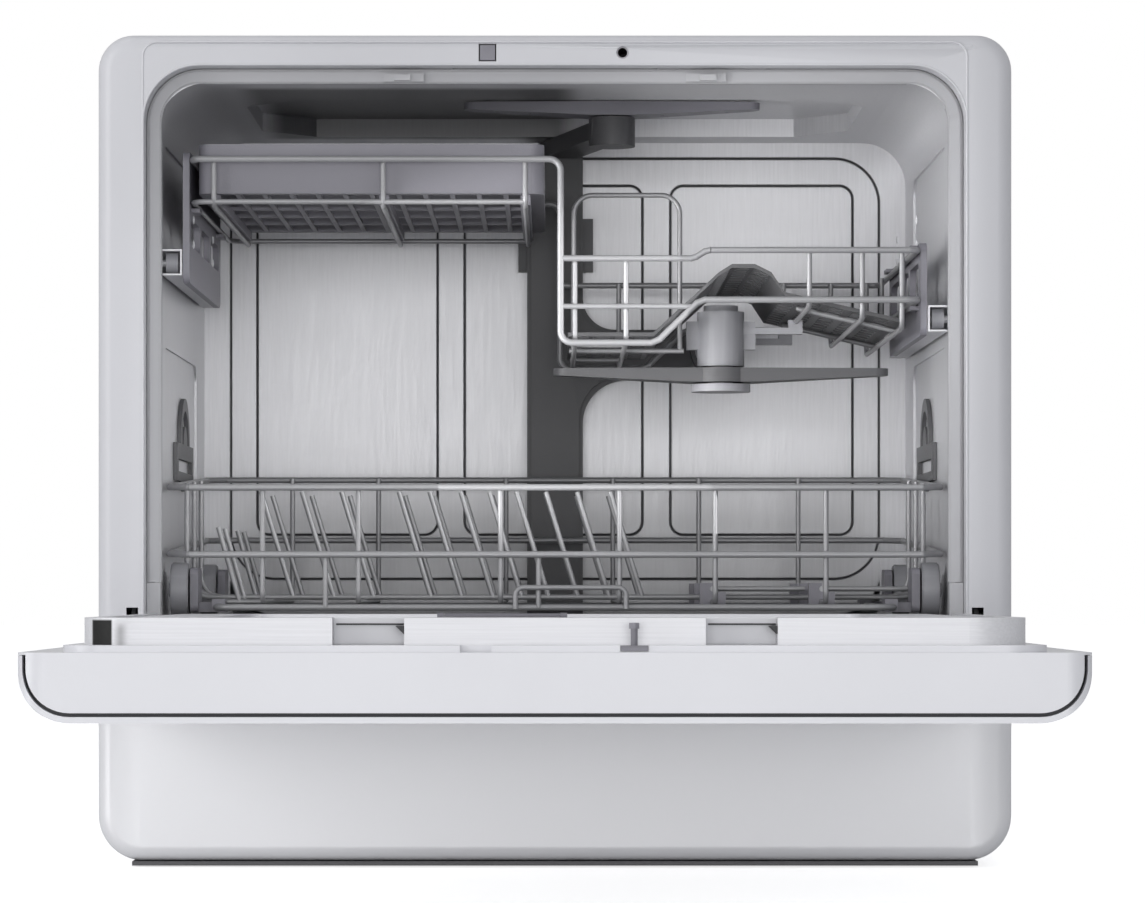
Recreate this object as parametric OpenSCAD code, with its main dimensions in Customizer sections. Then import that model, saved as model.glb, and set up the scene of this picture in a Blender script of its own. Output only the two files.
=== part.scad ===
// Countertop dishwasher with a drop-down door, a stepped upper rack and a lower rack on wheels.
// Millimetres. X to the right, Y to the back, Z up; the origin is on the standing surface, under
// the middle of the casing. The door is modelled open and both racks are pushed in.

/* [Casing] */
// Width over the casing
case_w = 550; // [545:1:600]
// Depth of the casing without the door
case_d = 410; // [400:1:480]
// Height of the top above the standing surface
case_h = 500; // [499:1:540]
// Corner radius of the casing's top, seen from the front
top_r = 21; // [16:1:24]
// Corner radius of the casing's bottom, seen from the front
bottom_r = 27; // [18:1:28]
// Thickness of the casing's sheet steel
sheet_t = 1.2; // [0.8:0.1:2]
// Height of the casing's lower edge above the standing surface
base_lift = 4; // [3.6:0.1:6]

/* [Front frame] */
// Depth of the moulded front frame
frame_d = 15; // [14:0.5:18]
// Wall thickness of the front frame and the lower panel
frame_wall = 2.6; // [2:0.1:3]
// Rounding of the frame's outer front edge
frame_edge_r = 9; // [4:0.5:12]
// Width of the front frame's side strips
strip_w = 28.5; // [26:0.5:30]
// Height of the front frame's top strip
top_strip = 19; // [18:0.5:22]
// Corner radius of the front opening
mouth_r = 33; // [28:1:40]
// Gap between the front frame and the lower panel
panel_gap = 0.6; // [0.4:0.1:1]
// Distance of the lock hole and the opener rod from the middle
lock_x = 40.5; // [36:0.5:50]

/* [Tub] */
// Width inside the tub
tub_w = 480; // [472:1:490]
// Depth of the tub's back wall behind the casing's front plane
tub_d = 340; // [336:1:350]
// Height of the tub's ceiling
tub_top = 472.5; // [468:0.5:474]
// Height of the ledges that the lower rack rolls on
ledge_z = 149.8; // [146:0.2:152]
// Corner radius of the tub's ceiling
tub_r = 30; // [24:1:36]
// Thickness of the tub's steel
tub_t = 1.2; // [0.8:0.1:1.6]
// Depth of the tub's pressed panels
press_depth = 1.5; // [1:0.1:2.5]
// Rise of the recess in the tub's ceiling
recess_rise = 12; // [8:0.5:16]

/* [Door] */
// Length of the door from the hinge axis to its free end
door_len = 361; // [350:1:361]
// Thickness of the door from its rim to its outer face
door_t = 36; // [34:0.5:44]
// Radius of the door's long outer edges
door_edge_r = 28; // [18:1:30]
// Corner radius at the door's free end
door_corner_r = 14; // [6:1:20]
// Thickness of the outer panel
skin_t = 3.2; // [2:0.1:4]
// Height of the inner shell's tier above its rim
tier_h = 3.6; // [2:0.1:5]
// Height of the liner above the tier
liner_h = 14; // [10:0.5:14]
// Corner radius of the liner
liner_r = 26; // [16:1:30]
// Height of the door's hinge axis
hinge_z = 138.7; // [136:0.1:140]
// Distance of the hinge arms from the middle
hinge_x = 253.5; // [253:0.1:254]
// Radius of the hinge pins
pin_r = 3; // [2.5:0.1:3.5]

/* [Racks] */
// Radius of the rack rails
rail_r = 2; // [1.6:0.1:2.4]
// Radius of the tines and floor wires
tine_r = 1.6; // [1.2:0.1:2]
// Width over the lower rack's top rail
lower_w = 468; // [456:1:470]
// Height of the lower rack's front top rail
lower_top = 228.6; // [220:0.5:236]
// Height of the lower rack's middle rail
lower_mid = 188; // [184:0.5:194]
// Height of the lower rack's floor wires
lower_floor = 156; // [155:0.5:158]
// Rise of the lower rack's rails towards the back
lower_rise = 12; // [4:0.5:16]
// Depth of the racks' front wires
rack_front = 20; // [19:0.5:26]
// Depth of the racks' back wires
rack_back = 302; // [290:1:304]
// Radius of the lower rack's wheels
wheel_r = 16.7; // [14:0.1:17]
// Height of the upper rack's shelf rail
shelf_top = 427; // [422:0.5:432]
// Height of the shelf tray's floor
shelf_floor = 409; // [404:0.5:414]
// Height of the right basket's top rail
basket_top = 369; // [366:0.5:374]
// Height of the right basket's middle rail
basket_mid = 340; // [336:0.5:344]
// Height of the right basket's lowest wires
basket_floor = 316; // [314:0.5:320]
// Height of the left slide rail
rail_left_z = 365; // [355:1:375]
// Height of the right slide rail
rail_right_z = 331; // [328:1:340]
// Radius of the rollers that carry the slide rails
roller_r = 6.6; // [5:0.1:7]

/* [Water parts] */
// Half width of the water column on the back wall
column_half = 19; // [14:1:24]
// Depth of the water column from front to back
column_t = 16; // [12:0.5:18]
// Distance of the middle spray arm from the tub's middle
mid_arm_x = 106; // [104:0.5:110]
// Height of the middle spray arm
mid_arm_z = 299; // [296:0.5:300]
// Half length of the middle spray arm
mid_arm_len = 107; // [90:1:108]
// Half length of the lower spray arm
low_arm_len = 140; // [110:1:142]
// Half length of the ceiling spray arm
top_arm_len = 96; // [70:1:97]
// Thickness of the spray arms at the hub
arm_t = 9; // [7:0.5:9]
// Radius of the pins that the spray arms turn on
arm_pin_r = 8; // [6:0.5:10]
// Radius of the sump
sump_r = 62; // [56:1:66]
// Thread radius of the water inlet nipple
inlet_r = 13.2; // [12:0.1:14]
// Radius of the drain hose spigot
drain_r = 9.5; // [8:0.5:11]

/* [Hidden] */

// Colours
white = [0.86, 0.86, 0.88];
steel = [0.72, 0.72, 0.74];
bright = [0.8, 0.8, 0.82];
dark = [0.25, 0.25, 0.27];
grey = [0.44, 0.43, 0.46];
light_grey = [0.62, 0.62, 0.64];
black = [0.08, 0.08, 0.09];

// Clearances
fit = 0.3;      // between pieces that are put together loosely
run = 0.05;     // radial, between a pin and what turns on it
slide_gap = 1;  // between pieces that pass each other

// Derived places
front_y = -case_d / 2;
frame_bottom = hinge_z - 1.2;
panel_top = frame_bottom - panel_gap;
mouth_top = case_h - top_strip;
mouth_w = case_w - 2 * strip_w;
rim_t = -0.5 - tier_h;             // the door's rim, measured from the hinge axis
skin_bottom = rim_t - door_t;      // the door's outer face
liner_top = -0.5 + liner_h;
liner_w = mouth_w - 2.4;
liner_end = mouth_top - hinge_z - 1.3;
lock_s = case_h - top_strip / 2 - 1.8 - hinge_z;   // the lock's distance along the door
lock_z = hinge_z + lock_s;
gasket_front = frame_d - 0.8;
tub_front = frame_d + 1.5;
spray_d = 186;                     // depth of the lower spray arm's axis
mid_arm_d = 160;
top_arm_x = 37;
top_arm_d = 201;
recess_half = 195;
wheel_half = 5.5;
wheel_x = lower_w / 2 - 4;
wheel_d = [62, 262];
wheel_z = ledge_z + wheel_r + 0.2;
roller_d = [34, 84];

// A point given by its distance to the right, its depth behind the front plane and its height
function at(x, d, z) = [x, front_y + d, z];

// --- Shared shapes ---

// A straight round rod from one point to another
module rod(a, b, r) {
    v = b - a;
    l = norm(v);
    translate(a) rotate([0, acos(v[2] / l), atan2(v[1], v[0])]) cylinder(h = l, r = r, $fn = 24);
}

// One rounded corner of a wire, at p, between the directions u (in) and v (out)
module wire_bend(p, u, v, bend, r) {
    turn = acos(u * v);
    middle = p + (v - u) / norm(v - u) * bend / cos(turn / 2);
    e = (p - u * bend * tan(turn / 2) - middle) / bend;
    n = cross(u, v) / norm(cross(u, v));
    f = cross(n, e);
    multmatrix([[e[0], f[0], n[0], middle[0]], [e[1], f[1], n[1], middle[1]],
            [e[2], f[2], n[2], middle[2]], [0, 0, 0, 1]])
        rotate_extrude(angle = turn, $fn = 48) translate([bend, 0]) circle(r = r, $fn = 24);
}

function square_on(v) = max([for (k = [0 : 2]) abs(v[k])]) > 0.9999;

// A wire through a list of points: bent round square corners and cranked at the others
module wire(points, r, bend = 6) {
    last = len(points) - 1;
    way = [for (i = [0 : last - 1]) (points[i + 1] - points[i]) / norm(points[i + 1] - points[i])];
    cut = [for (i = [0 : last]) i == 0 || i == last ? 0 : bend * tan(acos(way[i - 1] * way[i]) / 2)];
    for (i = [0 : last - 1])
        rod(points[i] + way[i] * cut[i], points[i + 1] - way[i] * cut[i + 1], r);
    for (i = [1 : 1 : last - 1])
        if (square_on(way[i - 1]) && square_on(way[i])) {
            wire_bend(points[i], way[i - 1], way[i], bend, r);
        } else {
            a = points[i] - way[i - 1] * cut[i];
            b = points[i] + way[i] * cut[i];
            rod(a, b, r);
            for (p = [a, b]) translate(p) sphere(r = r + 0.1, $fn = 24);
        }
}

// A closed rectangular hoop of wire with bent corners: across from x0 to x1, front d0 and back d1
module hoop(x0, x1, d0, d1, z_front, z_back, r, bend = 12) {
    mid = (x0 + x1) / 2;
    wire([at(mid, d0, z_front), at(x1, d0, z_front), at(x1, d1, z_back), at(x0, d1, z_back),
        at(x0, d0, z_front), at(mid, d0, z_front)], r, bend);
}

// A rectangle with round corners, its lower left corner at the origin
module round_rect(w, l, r) {
    translate([r, 0]) square([w - 2 * r, l]);
    translate([0, r]) square([w, l - 2 * r]);
    for (x = [r, w - r], y = [r, l - r]) translate([x, y]) circle(r = r, $fn = 72);
}

// The same, standing in the XZ plane and pushed back from depth d0 to d1
module standing(x0, x1, z0, z1, r, d0, d1) {
    translate(at(x0, d1, z0)) rotate([90, 0, 0]) linear_extrude(d1 - d0) round_rect(x1 - x0, z1 - z0, r);
}

// A box by its two depths, widths and heights
module block(x0, x1, d0, d1, z0, z1) {
    translate(at(x0, d0, z0)) cube([x1 - x0, d1 - d0, z1 - z0]);
}

// A cylinder along Y
module bar_y(x, z, d0, d1, r) {
    translate(at(x, d1, z)) rotate([90, 0, 0]) cylinder(h = d1 - d0, r = r, $fn = 48);
}

// A cylinder along X
module bar_x(x0, x1, d, z, r) {
    translate(at(x0, d, z)) rotate([0, 90, 0]) cylinder(h = x1 - x0, r = r, $fn = 48);
}

// A cylinder along Z
module bar_z(x, d, z0, z1, r) {
    translate(at(x, d, z0)) cylinder(h = z1 - z0, r = r, $fn = 64);
}

module both_sides() {
    children();
    mirror([1, 0, 0]) children();
}

// Outline of the casing, seen from the front and made smaller by inset
module case_outline(inset) {
    w = case_w - 2 * inset;
    rt = top_r - inset;
    rb = bottom_r - inset;
    bottom = base_lift + inset;
    top = case_h - inset;
    translate([-w / 2, bottom + rb]) square([w, top - bottom - rt - rb]);
    translate([-w / 2 + rt, top - rt]) square([w - 2 * rt, rt]);
    translate([-w / 2 + rb, bottom]) square([w - 2 * rb, rb]);
    for (s = [-1, 1]) {
        translate([s * (w / 2 - rt), top - rt]) circle(r = rt, $fn = 96);
        translate([s * (w / 2 - rb), bottom + rb]) circle(r = rb, $fn = 96);
    }
}

// The casing's outline pushed back from depth d0 to d1
module case_slab(inset, d0, d1) {
    translate(at(0, d1, 0)) rotate([90, 0, 0]) linear_extrude(d1 - d0) case_outline(inset);
}

// Section of a slab's rim: r wide and h high, its outer upper corner rounded by e
module rim_profile(r, h, e) {
    square([r, h - e]);
    square([r - e, h]);
    translate([r - e, h - e]) intersection() {
        circle(r = e, $fn = 48);
        square(e);
    }
}

// The casing's front end as a solid slab with a rounded front edge
module soft_front() {
    h = frame_d;
    e = frame_edge_r;
    low = base_lift;
    half = case_w / 2;
    translate(at(0, frame_d, 0)) rotate([90, 0, 0]) {
        for (s = [0, 1]) mirror([s, 0, 0]) {
            translate([half - top_r, case_h - top_r, 0])
                rotate_extrude(angle = 90, $fn = 96) rim_profile(top_r, h, e);
            translate([half - bottom_r, low + bottom_r, 0]) rotate([0, 0, -90])
                rotate_extrude(angle = 90, $fn = 96) rim_profile(bottom_r, h, e);
            translate([0, case_h - top_r, 0]) rotate([90, 0, 0])
                linear_extrude(case_h - top_r - low - bottom_r) rim_profile(half, h, e);
        }
        translate([-half + top_r, case_h - top_r, 0]) rotate([90, 0, 90])
            linear_extrude(2 * (half - top_r)) rim_profile(top_r, h, e);
        translate([-half + bottom_r, low + bottom_r, 0]) mirror([0, 1, 0]) rotate([90, 0, 90])
            linear_extrude(2 * (half - bottom_r)) rim_profile(bottom_r, h, e);
    }
}

// The front opening's outline, made smaller by inset
module mouth_outline(inset, top = mouth_top, foot = 0) {
    w = mouth_w - 2 * inset;
    r = mouth_r - inset;
    translate([-w / 2, foot]) square([w, top - inset - r - foot]);
    translate([-w / 2 + r, top - inset - r]) square([w - 2 * r, r]);
    for (s = [-1, 1]) translate([s * (w / 2 - r), top - inset - r]) circle(r = r, $fn = 96);
}

module mouth(inset, d0, d1, foot = 0) {
    translate(at(0, d1, 0)) rotate([90, 0, 0]) linear_extrude(d1 - d0) mouth_outline(inset, foot = foot);
}

// --- Casing ---

module casing() {
    color(white) difference() {
        case_slab(0, frame_d, case_d - 1.4);
        case_slab(sheet_t, frame_d - 1, case_d);
        block(-case_w / 2 + bottom_r + 1, case_w / 2 - bottom_r - 1, frame_d - 1, case_d, 0, base_lift + 10);
    }
}

// The moulded frame round the front opening, hollow at the back
module front_frame() {
    inner = mouth_w / 2 + frame_wall;
    color(white) difference() {
        soft_front();
        block(-case_w, case_w, -1, frame_d + 1, 0, frame_bottom);
        mouth(0, -1, frame_d + 1);
        // hollow sides and top
        both_sides() block(inner, case_w / 2 - 3, 3, frame_d + 1, frame_bottom - 1, mouth_top - mouth_r);
        block(-case_w / 2 + top_r, case_w / 2 - top_r, 3, frame_d + 1, mouth_top + frame_wall, case_h - 3);
        // slots for the hinge arms
        both_sides() block(hinge_x - 3.6, hinge_x + 3.6, -1, 4, frame_bottom - 1, hinge_z + 17.3);
        // hole for the lock pin, and the opener rod's square hole
        bar_y(lock_x, lock_z, -1, 4, 3.7);
        block(-lock_x - 5.3, -lock_x + 5.3, -1, 4, lock_z - 5.3, lock_z + 5.3);
    }
}

module lower_front_panel() {
    color(white) difference() {
        soft_front();
        block(-case_w, case_w, -1, frame_d + 1, panel_top, case_h + 1);
        difference() {
            case_slab(3, frame_wall, frame_d + 1);
            block(-case_w, case_w, 0, frame_d + 1, panel_top - frame_wall, case_h);
        }
        both_sides() block(hinge_x - 4.4, hinge_x + 4.4, -1, frame_d + 1, hinge_z - 8.6, case_h);
    }
}

foot_x = 205;
foot_d = [48, case_d - 48];
tray_top = 42;
tray_flange_w = case_w - 42;
tray_wall_w = case_w - 2 * bottom_r - 8;

module base_tray() {
    color(dark) difference() {
        union() {
            block(-tray_flange_w / 2, tray_flange_w / 2, 4, case_d - 4, 1, base_lift - 0.4);
            block(-tray_wall_w / 2, tray_wall_w / 2, 18, case_d - 6, 1, tray_top);
        }
        block(-tray_wall_w / 2 + 2.5, tray_wall_w / 2 - 2.5, 20.5, case_d - 8.5, base_lift - 0.4, tray_top + 1);
        for (x = [-foot_x, foot_x], d = foot_d) {
            bar_z(x, d, 0, 2.2, 17.6);
            bar_z(x, d, 0, 10, 6.2);
        }
        // the float's seat
        bar_z(float_x, float_d, base_lift - 1.4, base_lift, 15.5);
        for (p = screw_places) bar_y(p[0], p[1], case_d - 13, case_d - 5, 2.3);
    }
    color(dark) bar_z(float_x, float_d, 1, 34, 3);
}

module feet() {
    color(black) for (x = [-foot_x, foot_x], d = foot_d) {
        bar_z(x, d, 0, 2, 17);
        bar_z(x, d, 2, 14, 6);
        bar_z(x, d, base_lift - 0.1, 9, 11);
    }
}

pump_d = 318;
drain_x = -150;
inlet_x = 140;
power_x = 60;
port_z = 66;

module rear_cover() {
    color(steel) difference() {
        case_slab(0.4, case_d - 1.2, case_d);
        // louvres
        for (i = [0 : 9], s = [-1, 1])
            standing(s * 150 - 34, s * 150 + 34, 200 + i * 14, 205 + i * 14, 2.4, case_d - 2, case_d + 1);
        bar_y(drain_x, port_z, case_d - 2, case_d + 1, drain_r + 3);
        bar_y(inlet_x, port_z, case_d - 2, case_d + 1, inlet_r + 2);
        standing(power_x - 14.4, power_x + 14.4, port_z - 11.4, port_z + 11.4, 4, case_d - 2, case_d + 1);
        block(-tray_flange_w / 2 - 1, tray_flange_w / 2 + 1, case_d - 2, case_d + 1, 0, base_lift + 0.6);
        for (p = screw_places) bar_y(p[0], p[1], case_d - 2, case_d + 1, 2.1);
    }
}

screw_places = [for (x = [-case_w / 2 + 34, 0, case_w / 2 - 34], z = [34, case_h - 18]) [x, z]];

// Pan-head screws that hold the rear cover
module case_screws() {
    color(bright) for (p = screw_places) difference() {
        union() {
            bar_y(p[0], p[1], case_d - 12, case_d + 0.2, 2);
            translate(at(p[0], case_d + 0.05, p[1])) rotate([-90, 0, 0]) cylinder(h = 1.8, r1 = 3.8, r2 = 2.6, $fn = 48);
        }
        for (a = [0, 90]) translate(at(p[0], case_d + 1.85, p[1])) rotate([0, a, 0]) cube([3.6, 2, 0.8], center = true);
    }
}

// --- Tub ---

module tub_outline(grow) {
    w = tub_w + 2 * grow;
    r = tub_r + grow;
    translate([-w / 2, ledge_z]) square([w, tub_top + grow - r - ledge_z]);
    translate([-w / 2 + r, tub_top + grow - r]) square([w - 2 * r, r]);
    for (s = [-1, 1]) translate([s * (w / 2 - r), tub_top + grow - r]) circle(r = r, $fn = 96);
}

module tub_slab(grow, d0, d1) {
    translate(at(0, d1, 0)) rotate([90, 0, 0]) linear_extrude(d1 - d0) tub_outline(grow);
}

// Plan of the ceiling recess, with its corners cut off
module recess_plan(grow) {
    x = recess_half + grow;
    d0 = 100 - grow;
    d1 = 302 + grow;
    c = 34;
    polygon([[-x + c, d0], [x - c, d0], [x, d0 + c], [x, d1 - c], [x - c, d1], [-x + c, d1], [-x, d1 - c],
        [-x, d0 + c]]);
}

// The three tall pressed panels of the back wall
back_panels = [[-204, -80], [-61, 61], [80, 204]];
panel_z = [204, 444];

module tub() {
    back = tub_d + press_depth;
    color(steel) difference() {
        union() {
            tub_slab(tub_t, tub_front, tub_d + tub_t);
            standing(-222.4 - tub_t, 222.4 + tub_t, ledge_z, 462 + tub_t, 31 + tub_t, tub_d, back + tub_t);
            for (p = back_panels)
                standing(p[0] - tub_t, p[1] + tub_t, panel_z[0] - tub_t, panel_z[1] + tub_t, 10 + tub_t,
                    tub_d, back + press_depth + tub_t);
            translate([0, front_y, tub_top - 1]) linear_extrude(recess_rise + 1 + tub_t) recess_plan(tub_t);
            both_sides() for (z = side_press) side_pad(z, tub_t);
        }
        tub_slab(0, tub_front - 1, tub_d);
        standing(-222.4, 222.4, ledge_z - 20, 462, 31, tub_d - 1, back);
        for (p = back_panels)
            standing(p[0], p[1], panel_z[0], panel_z[1], 10, tub_d - 1, back + press_depth);
        translate([0, front_y, tub_top - 2]) linear_extrude(recess_rise + 2) recess_plan(0);
        both_sides() for (z = side_press) side_pad(z, 0);
        block(-case_w, case_w, 0, case_d, ledge_z - 40, ledge_z);
    }
    // studs that the rollers turn on
    color(bright) for (i = [0, 1]) {
        roller_stud(-1, roller_d[i], rail_left_z);
        roller_stud(1, roller_d[i], rail_right_z);
    }
}

// The side walls' pressed fields: [lowest, highest]
side_press = [[176, 316], [384, 440]];

module side_pad(z, grow) {
    translate(at(tub_w / 2 - 1, 0, 0)) rotate([90, 0, 90]) linear_extrude(1 + press_depth + grow)
        translate([60 - grow, z[0] - grow]) round_rect(220 + 2 * grow, z[1] - z[0] + 2 * grow, 12 + grow);
}

module roller_stud(side, d, z) {
    x0 = tub_w / 2 - 11.6;
    mirror([side < 0 ? 1 : 0, 0, 0]) bar_x(x0, tub_w / 2 + 0.5, d, z, 2.2);
}

// The moulded base under the tub, with ledges for the wheels and a floor that falls to the sump
basin_w = 404;
basin_d = [40, 330];
basin_t = 2.6;

module basin_section(grow) {
    w = basin_w / 2 + grow;
    polygon([[-w, ledge_z + 1], [-w, 137 - grow], [-70, 130 - grow], [70, 130 - grow], [w, 137 - grow],
        [w, ledge_z + 1]]);
}

module basin(grow, d0, d1) {
    translate(at(0, d1, 0)) rotate([90, 0, 0]) linear_extrude(d1 - d0) basin_section(grow);
}

module tub_base() {
    back = tub_d + tub_t;
    color(dark) difference() {
        union() {
            block(-tub_w / 2 - tub_t, tub_w / 2 + tub_t, tub_front, back + 3 + press_depth, ledge_z - 3, ledge_z);
            intersection() {
                basin(basin_t, basin_d[0] - basin_t, basin_d[1] + basin_t);
                block(-case_w, case_w, 0, case_d, 0, ledge_z);
            }
            bar_z(0, spray_d, 122, 131, sump_r + 3);
            // front skirt
            block(-tub_w / 2 - tub_t, tub_w / 2 + tub_t, tub_front, tub_front + 2.5, 118, ledge_z);
        }
        basin(0, basin_d[0], basin_d[1]);
        bar_z(0, spray_d, 100, 140, sump_r - 4);
    }
}

filter_x = 30;

suction_z = 88;

module sump() {
    color(dark) difference() {
        union() {
            bar_z(0, spray_d, 82, 121.6, sump_r);
            bar_z(0, spray_d, 114, 121.6, sump_r + 8);
            bar_x(-sump_r - 30, 0, spray_d, 98, 13);
            bar_y(0, suction_z, spray_d + sump_r - 8, 274.6, 11);
            bar_z(filter_x, spray_d, 58, 84, 30);
        }
        bar_z(0, spray_d, 86, 130, sump_r - 4);
        bar_z(filter_x, spray_d, 62, 90, 26);
        bar_x(-sump_r - 31, 0, spray_d, 98, 10);
        bar_y(0, suction_z, spray_d + sump_r - 6, 280, 8);
    }
}

// The flat fine filter over the sump
module filter_plate() {
    z = 123;
    color(light_grey) difference() {
        bar_z(0, spray_d, z, z + 1.6, sump_r - 4.6);
        bar_z(filter_x, spray_d, z - 1, z + 3, 24.6);
        bar_z(0, spray_d, z - 1, z + 3, 3);
        for (a = [30 : 15 : 330], r = [[12, 26], [30, 44]])
            if (a < 0 || a > 25) translate(at(0, spray_d, z - 1)) rotate([0, 0, a])
                if (norm([r[1] * cos(a) - filter_x, r[1] * sin(a)]) > 33
                        && norm([r[0] * cos(a) - filter_x, r[0] * sin(a)]) > 28)
                    translate([r[0], -1.1, 0]) cube([r[1] - r[0], 2.2, 4]);
    }
}

// The cylindrical coarse filter, which twists to lock
module filter_basket() {
    color(grey) difference() {
        union() {
            bar_z(filter_x, spray_d, 66, 124, 22);
            bar_z(filter_x, spray_d, 124.9, 127, 25.4);
            bar_z(filter_x, spray_d, 123, 125, 24);
        }
        bar_z(filter_x, spray_d, 68, 130, 20.4);
        for (a = [0 : 30 : 330], z = [72 : 12 : 108])
            translate(at(filter_x, spray_d, z)) rotate([0, 0, a]) translate([18, -3.4, 0]) cube([6, 6.8, 8]);
    }
    // handle bar
    color(grey) translate(at(filter_x, spray_d, 118)) difference() {
        translate([-20.8, -2, 0]) cube([41.6, 4, 9]);
        translate([-12, -3, -1]) cube([24, 6, 4]);
    }
}

// --- Pumps, valve and electrics in the base ---

float_x = 150;
float_d = 90;

module wash_pump() {
    z = suction_z;
    color(dark) difference() {
        union() {
            bar_y(0, z, 275, 303, 38);
            bar_y(0, z, 303.2, 312, 30);
            bar_z(30, 289, z, 123, 10);
            for (a = [0 : 60 : 300]) translate(at(0, 303, z)) rotate([0, a, 0]) translate([33, 0, 0])
                rotate([90, 0, 0]) cylinder(h = 26, r = 3, $fn = 32);
        }
        bar_y(0, z, 270, 290, 11.3);
        bar_z(30, 289, z + 5, 124, 7.5);
    }
    // motor with its laminated stator
    color(steel) union() {
        bar_y(0, z, 312, 372, 26);
        block(-27, 27, 322, 352, z - 27, z + 27);
        bar_y(0, z, 372, 384, 12);
    }
}

module drain_pump() {
    z = 98;
    color(dark) union() {
        bar_x(-122, -sump_r - 30.3, spray_d, z, 27);
        bar_x(-134, -122, spray_d, z, 20);
        bar_x(-184, -134, spray_d, z, 24);
        wire([at(-107, spray_d, z), at(-107, 352, z), at(-107, 352, port_z), at(drain_x, 352, port_z),
            at(drain_x, case_d + 2, port_z)], drain_r - 0.8, 15);
        bar_y(drain_x, port_z, case_d + 1.8, case_d + 24, drain_r);
    }
}

module inlet_valve() {
    color(white) difference() {
        union() {
            bar_y(inlet_x, port_z, case_d - 26, case_d + 16, inlet_r - 1);
            bar_y(inlet_x, port_z, case_d + 1.5, case_d + 16, inlet_r);
            bar_y(inlet_x, port_z, case_d - 5, case_d - 1.6, inlet_r + 5);
            block(inlet_x - 18, inlet_x + 18, case_d - 50, case_d - 26, port_z - 15, port_z + 15);
            bar_z(inlet_x, case_d - 38, port_z + 15, port_z + 44, 13);
            bar_y(inlet_x, port_z - 4, case_d - 66, case_d - 50, 7);
        }
        bar_y(inlet_x, port_z, case_d - 20, case_d + 17, 8.5);
        bar_y(inlet_x, port_z - 4, case_d - 67, case_d - 52, 4.5);
    }
}

// Recessed appliance socket
module power_inlet() {
    color(black) difference() {
        union() {
            standing(power_x - 14, power_x + 14, port_z - 11, port_z + 11, 3.6, case_d - 24, case_d + 0.4);
            standing(power_x - 18, power_x + 18, port_z - 14, port_z + 14, 4, case_d - 5, case_d - 1.6);
        }
        standing(power_x - 11.5, power_x + 11.5, port_z - 8.5, port_z + 8.5, 3, case_d - 18, case_d + 1);
    }
    color(bright) for (p = [[-7, -1.5], [0, 2.5], [7, -1.5]])
        block(power_x + p[0] - 1, power_x + p[0] + 1, case_d - 18.5, case_d - 3, port_z + p[1] - 3, port_z + p[1] + 3);
}

module control_box() {
    color(grey) difference() {
        union() {
            block(-212, -112, 44, 132, 8, 58);
            for (i = [0 : 5]) block(-206 + i * 18, -202 + i * 18, 41.5, 134.5, 12, 54);
        }
        for (i = [0 : 4]) block(-112.5, -111, 54 + i * 14, 62 + i * 14, 30, 46);
        bar_z(-foot_x, foot_d[0], 0, 18, 12);
    }
}

// The anti-flood float in the base tray
module float() {
    color(white) difference() {
        union() {
            bar_z(float_x, float_d, base_lift - 1.1, 16, 15);
            bar_z(float_x, float_d, 16, 24, 6);
        }
        bar_z(float_x, float_d, 0, 30, 3 + run);
    }
}

// --- Seals ---

clip_x = 91;

module door_gasket() {
    // tabs on the upper seal that centre the door's liner
    color(grey) both_sides() {
        block(clip_x - 12, clip_x + 12, gasket_front - 3.4, gasket_front + 1, 472.6, 477.5);
        block(clip_x - 4, clip_x + 6, gasket_front - 7, gasket_front - 3.2, 473, 476.5);
    }
    color(grey) difference() {
        union() {
            mouth(fit, gasket_front + 1.6, gasket_front + 9, foot = seal_top + fit);
            difference() {
                mouth(2, gasket_front, gasket_front + 3, foot = seal_top + fit);
                mouth(8.2, gasket_front - 1, gasket_front + 4);
            }
        }
        mouth(8.9, gasket_front - 1, gasket_front + 10);
        difference() {
            tub_slab(tub_t + fit, tub_front - fit, tub_front + 20);
            tub_slab(-fit, tub_front - 1, tub_front + 21);
        }
    }
}

seal_top = 171;

module bottom_seal() {
    w = mouth_w / 2 - fit;
    color(dark) difference() {
        union() {
            block(-w, w, gasket_front, tub_front - 0.2, frame_bottom + 2, ledge_z - 0.2);
            both_sides() {
                block(w - 8.2, w, gasket_front, gasket_front + 8, ledge_z, seal_top);
                block(w - 8.2, w, gasket_front, tub_front - 0.2, ledge_z - 1, ledge_z + 1);
            }
        }
        difference() {
            tub_slab(tub_t + fit, tub_front - fit, tub_front + 20);
            tub_slab(-fit, tub_front - 1, tub_front + 21);
        }
    }
}

// --- Water column and spray arms ---

feed_z = 328;
clip_wire_x = 154;
clip_wire_z = basket_mid - 2;
branch_end = mid_arm_x + 14;
column_back = tub_d + 1;

// Outline of the column with its branch to the right; inset makes the raised front
module column_outline(inset) {
    h = column_half - inset;
    top = feed_z + 16 - inset;
    low = feed_z - 18 + inset;
    r_up = 22;
    r_low = 30;
    translate([-h, ledge_z + 0.3]) square([2 * h, tub_top - 1 - ledge_z - 2]);
    translate([0, low]) square([branch_end - inset, top - low]);
    difference() {
        translate([h - 1, top - 1]) square([r_up + 1, r_up + 1]);
        translate([h + r_up, top + r_up]) circle(r = r_up, $fn = 72);
    }
    difference() {
        translate([h - 1, low - r_low]) square([r_low + 1, r_low + 1]);
        translate([h + r_low, low - r_low]) circle(r = r_low, $fn = 72);
    }
}

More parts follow.
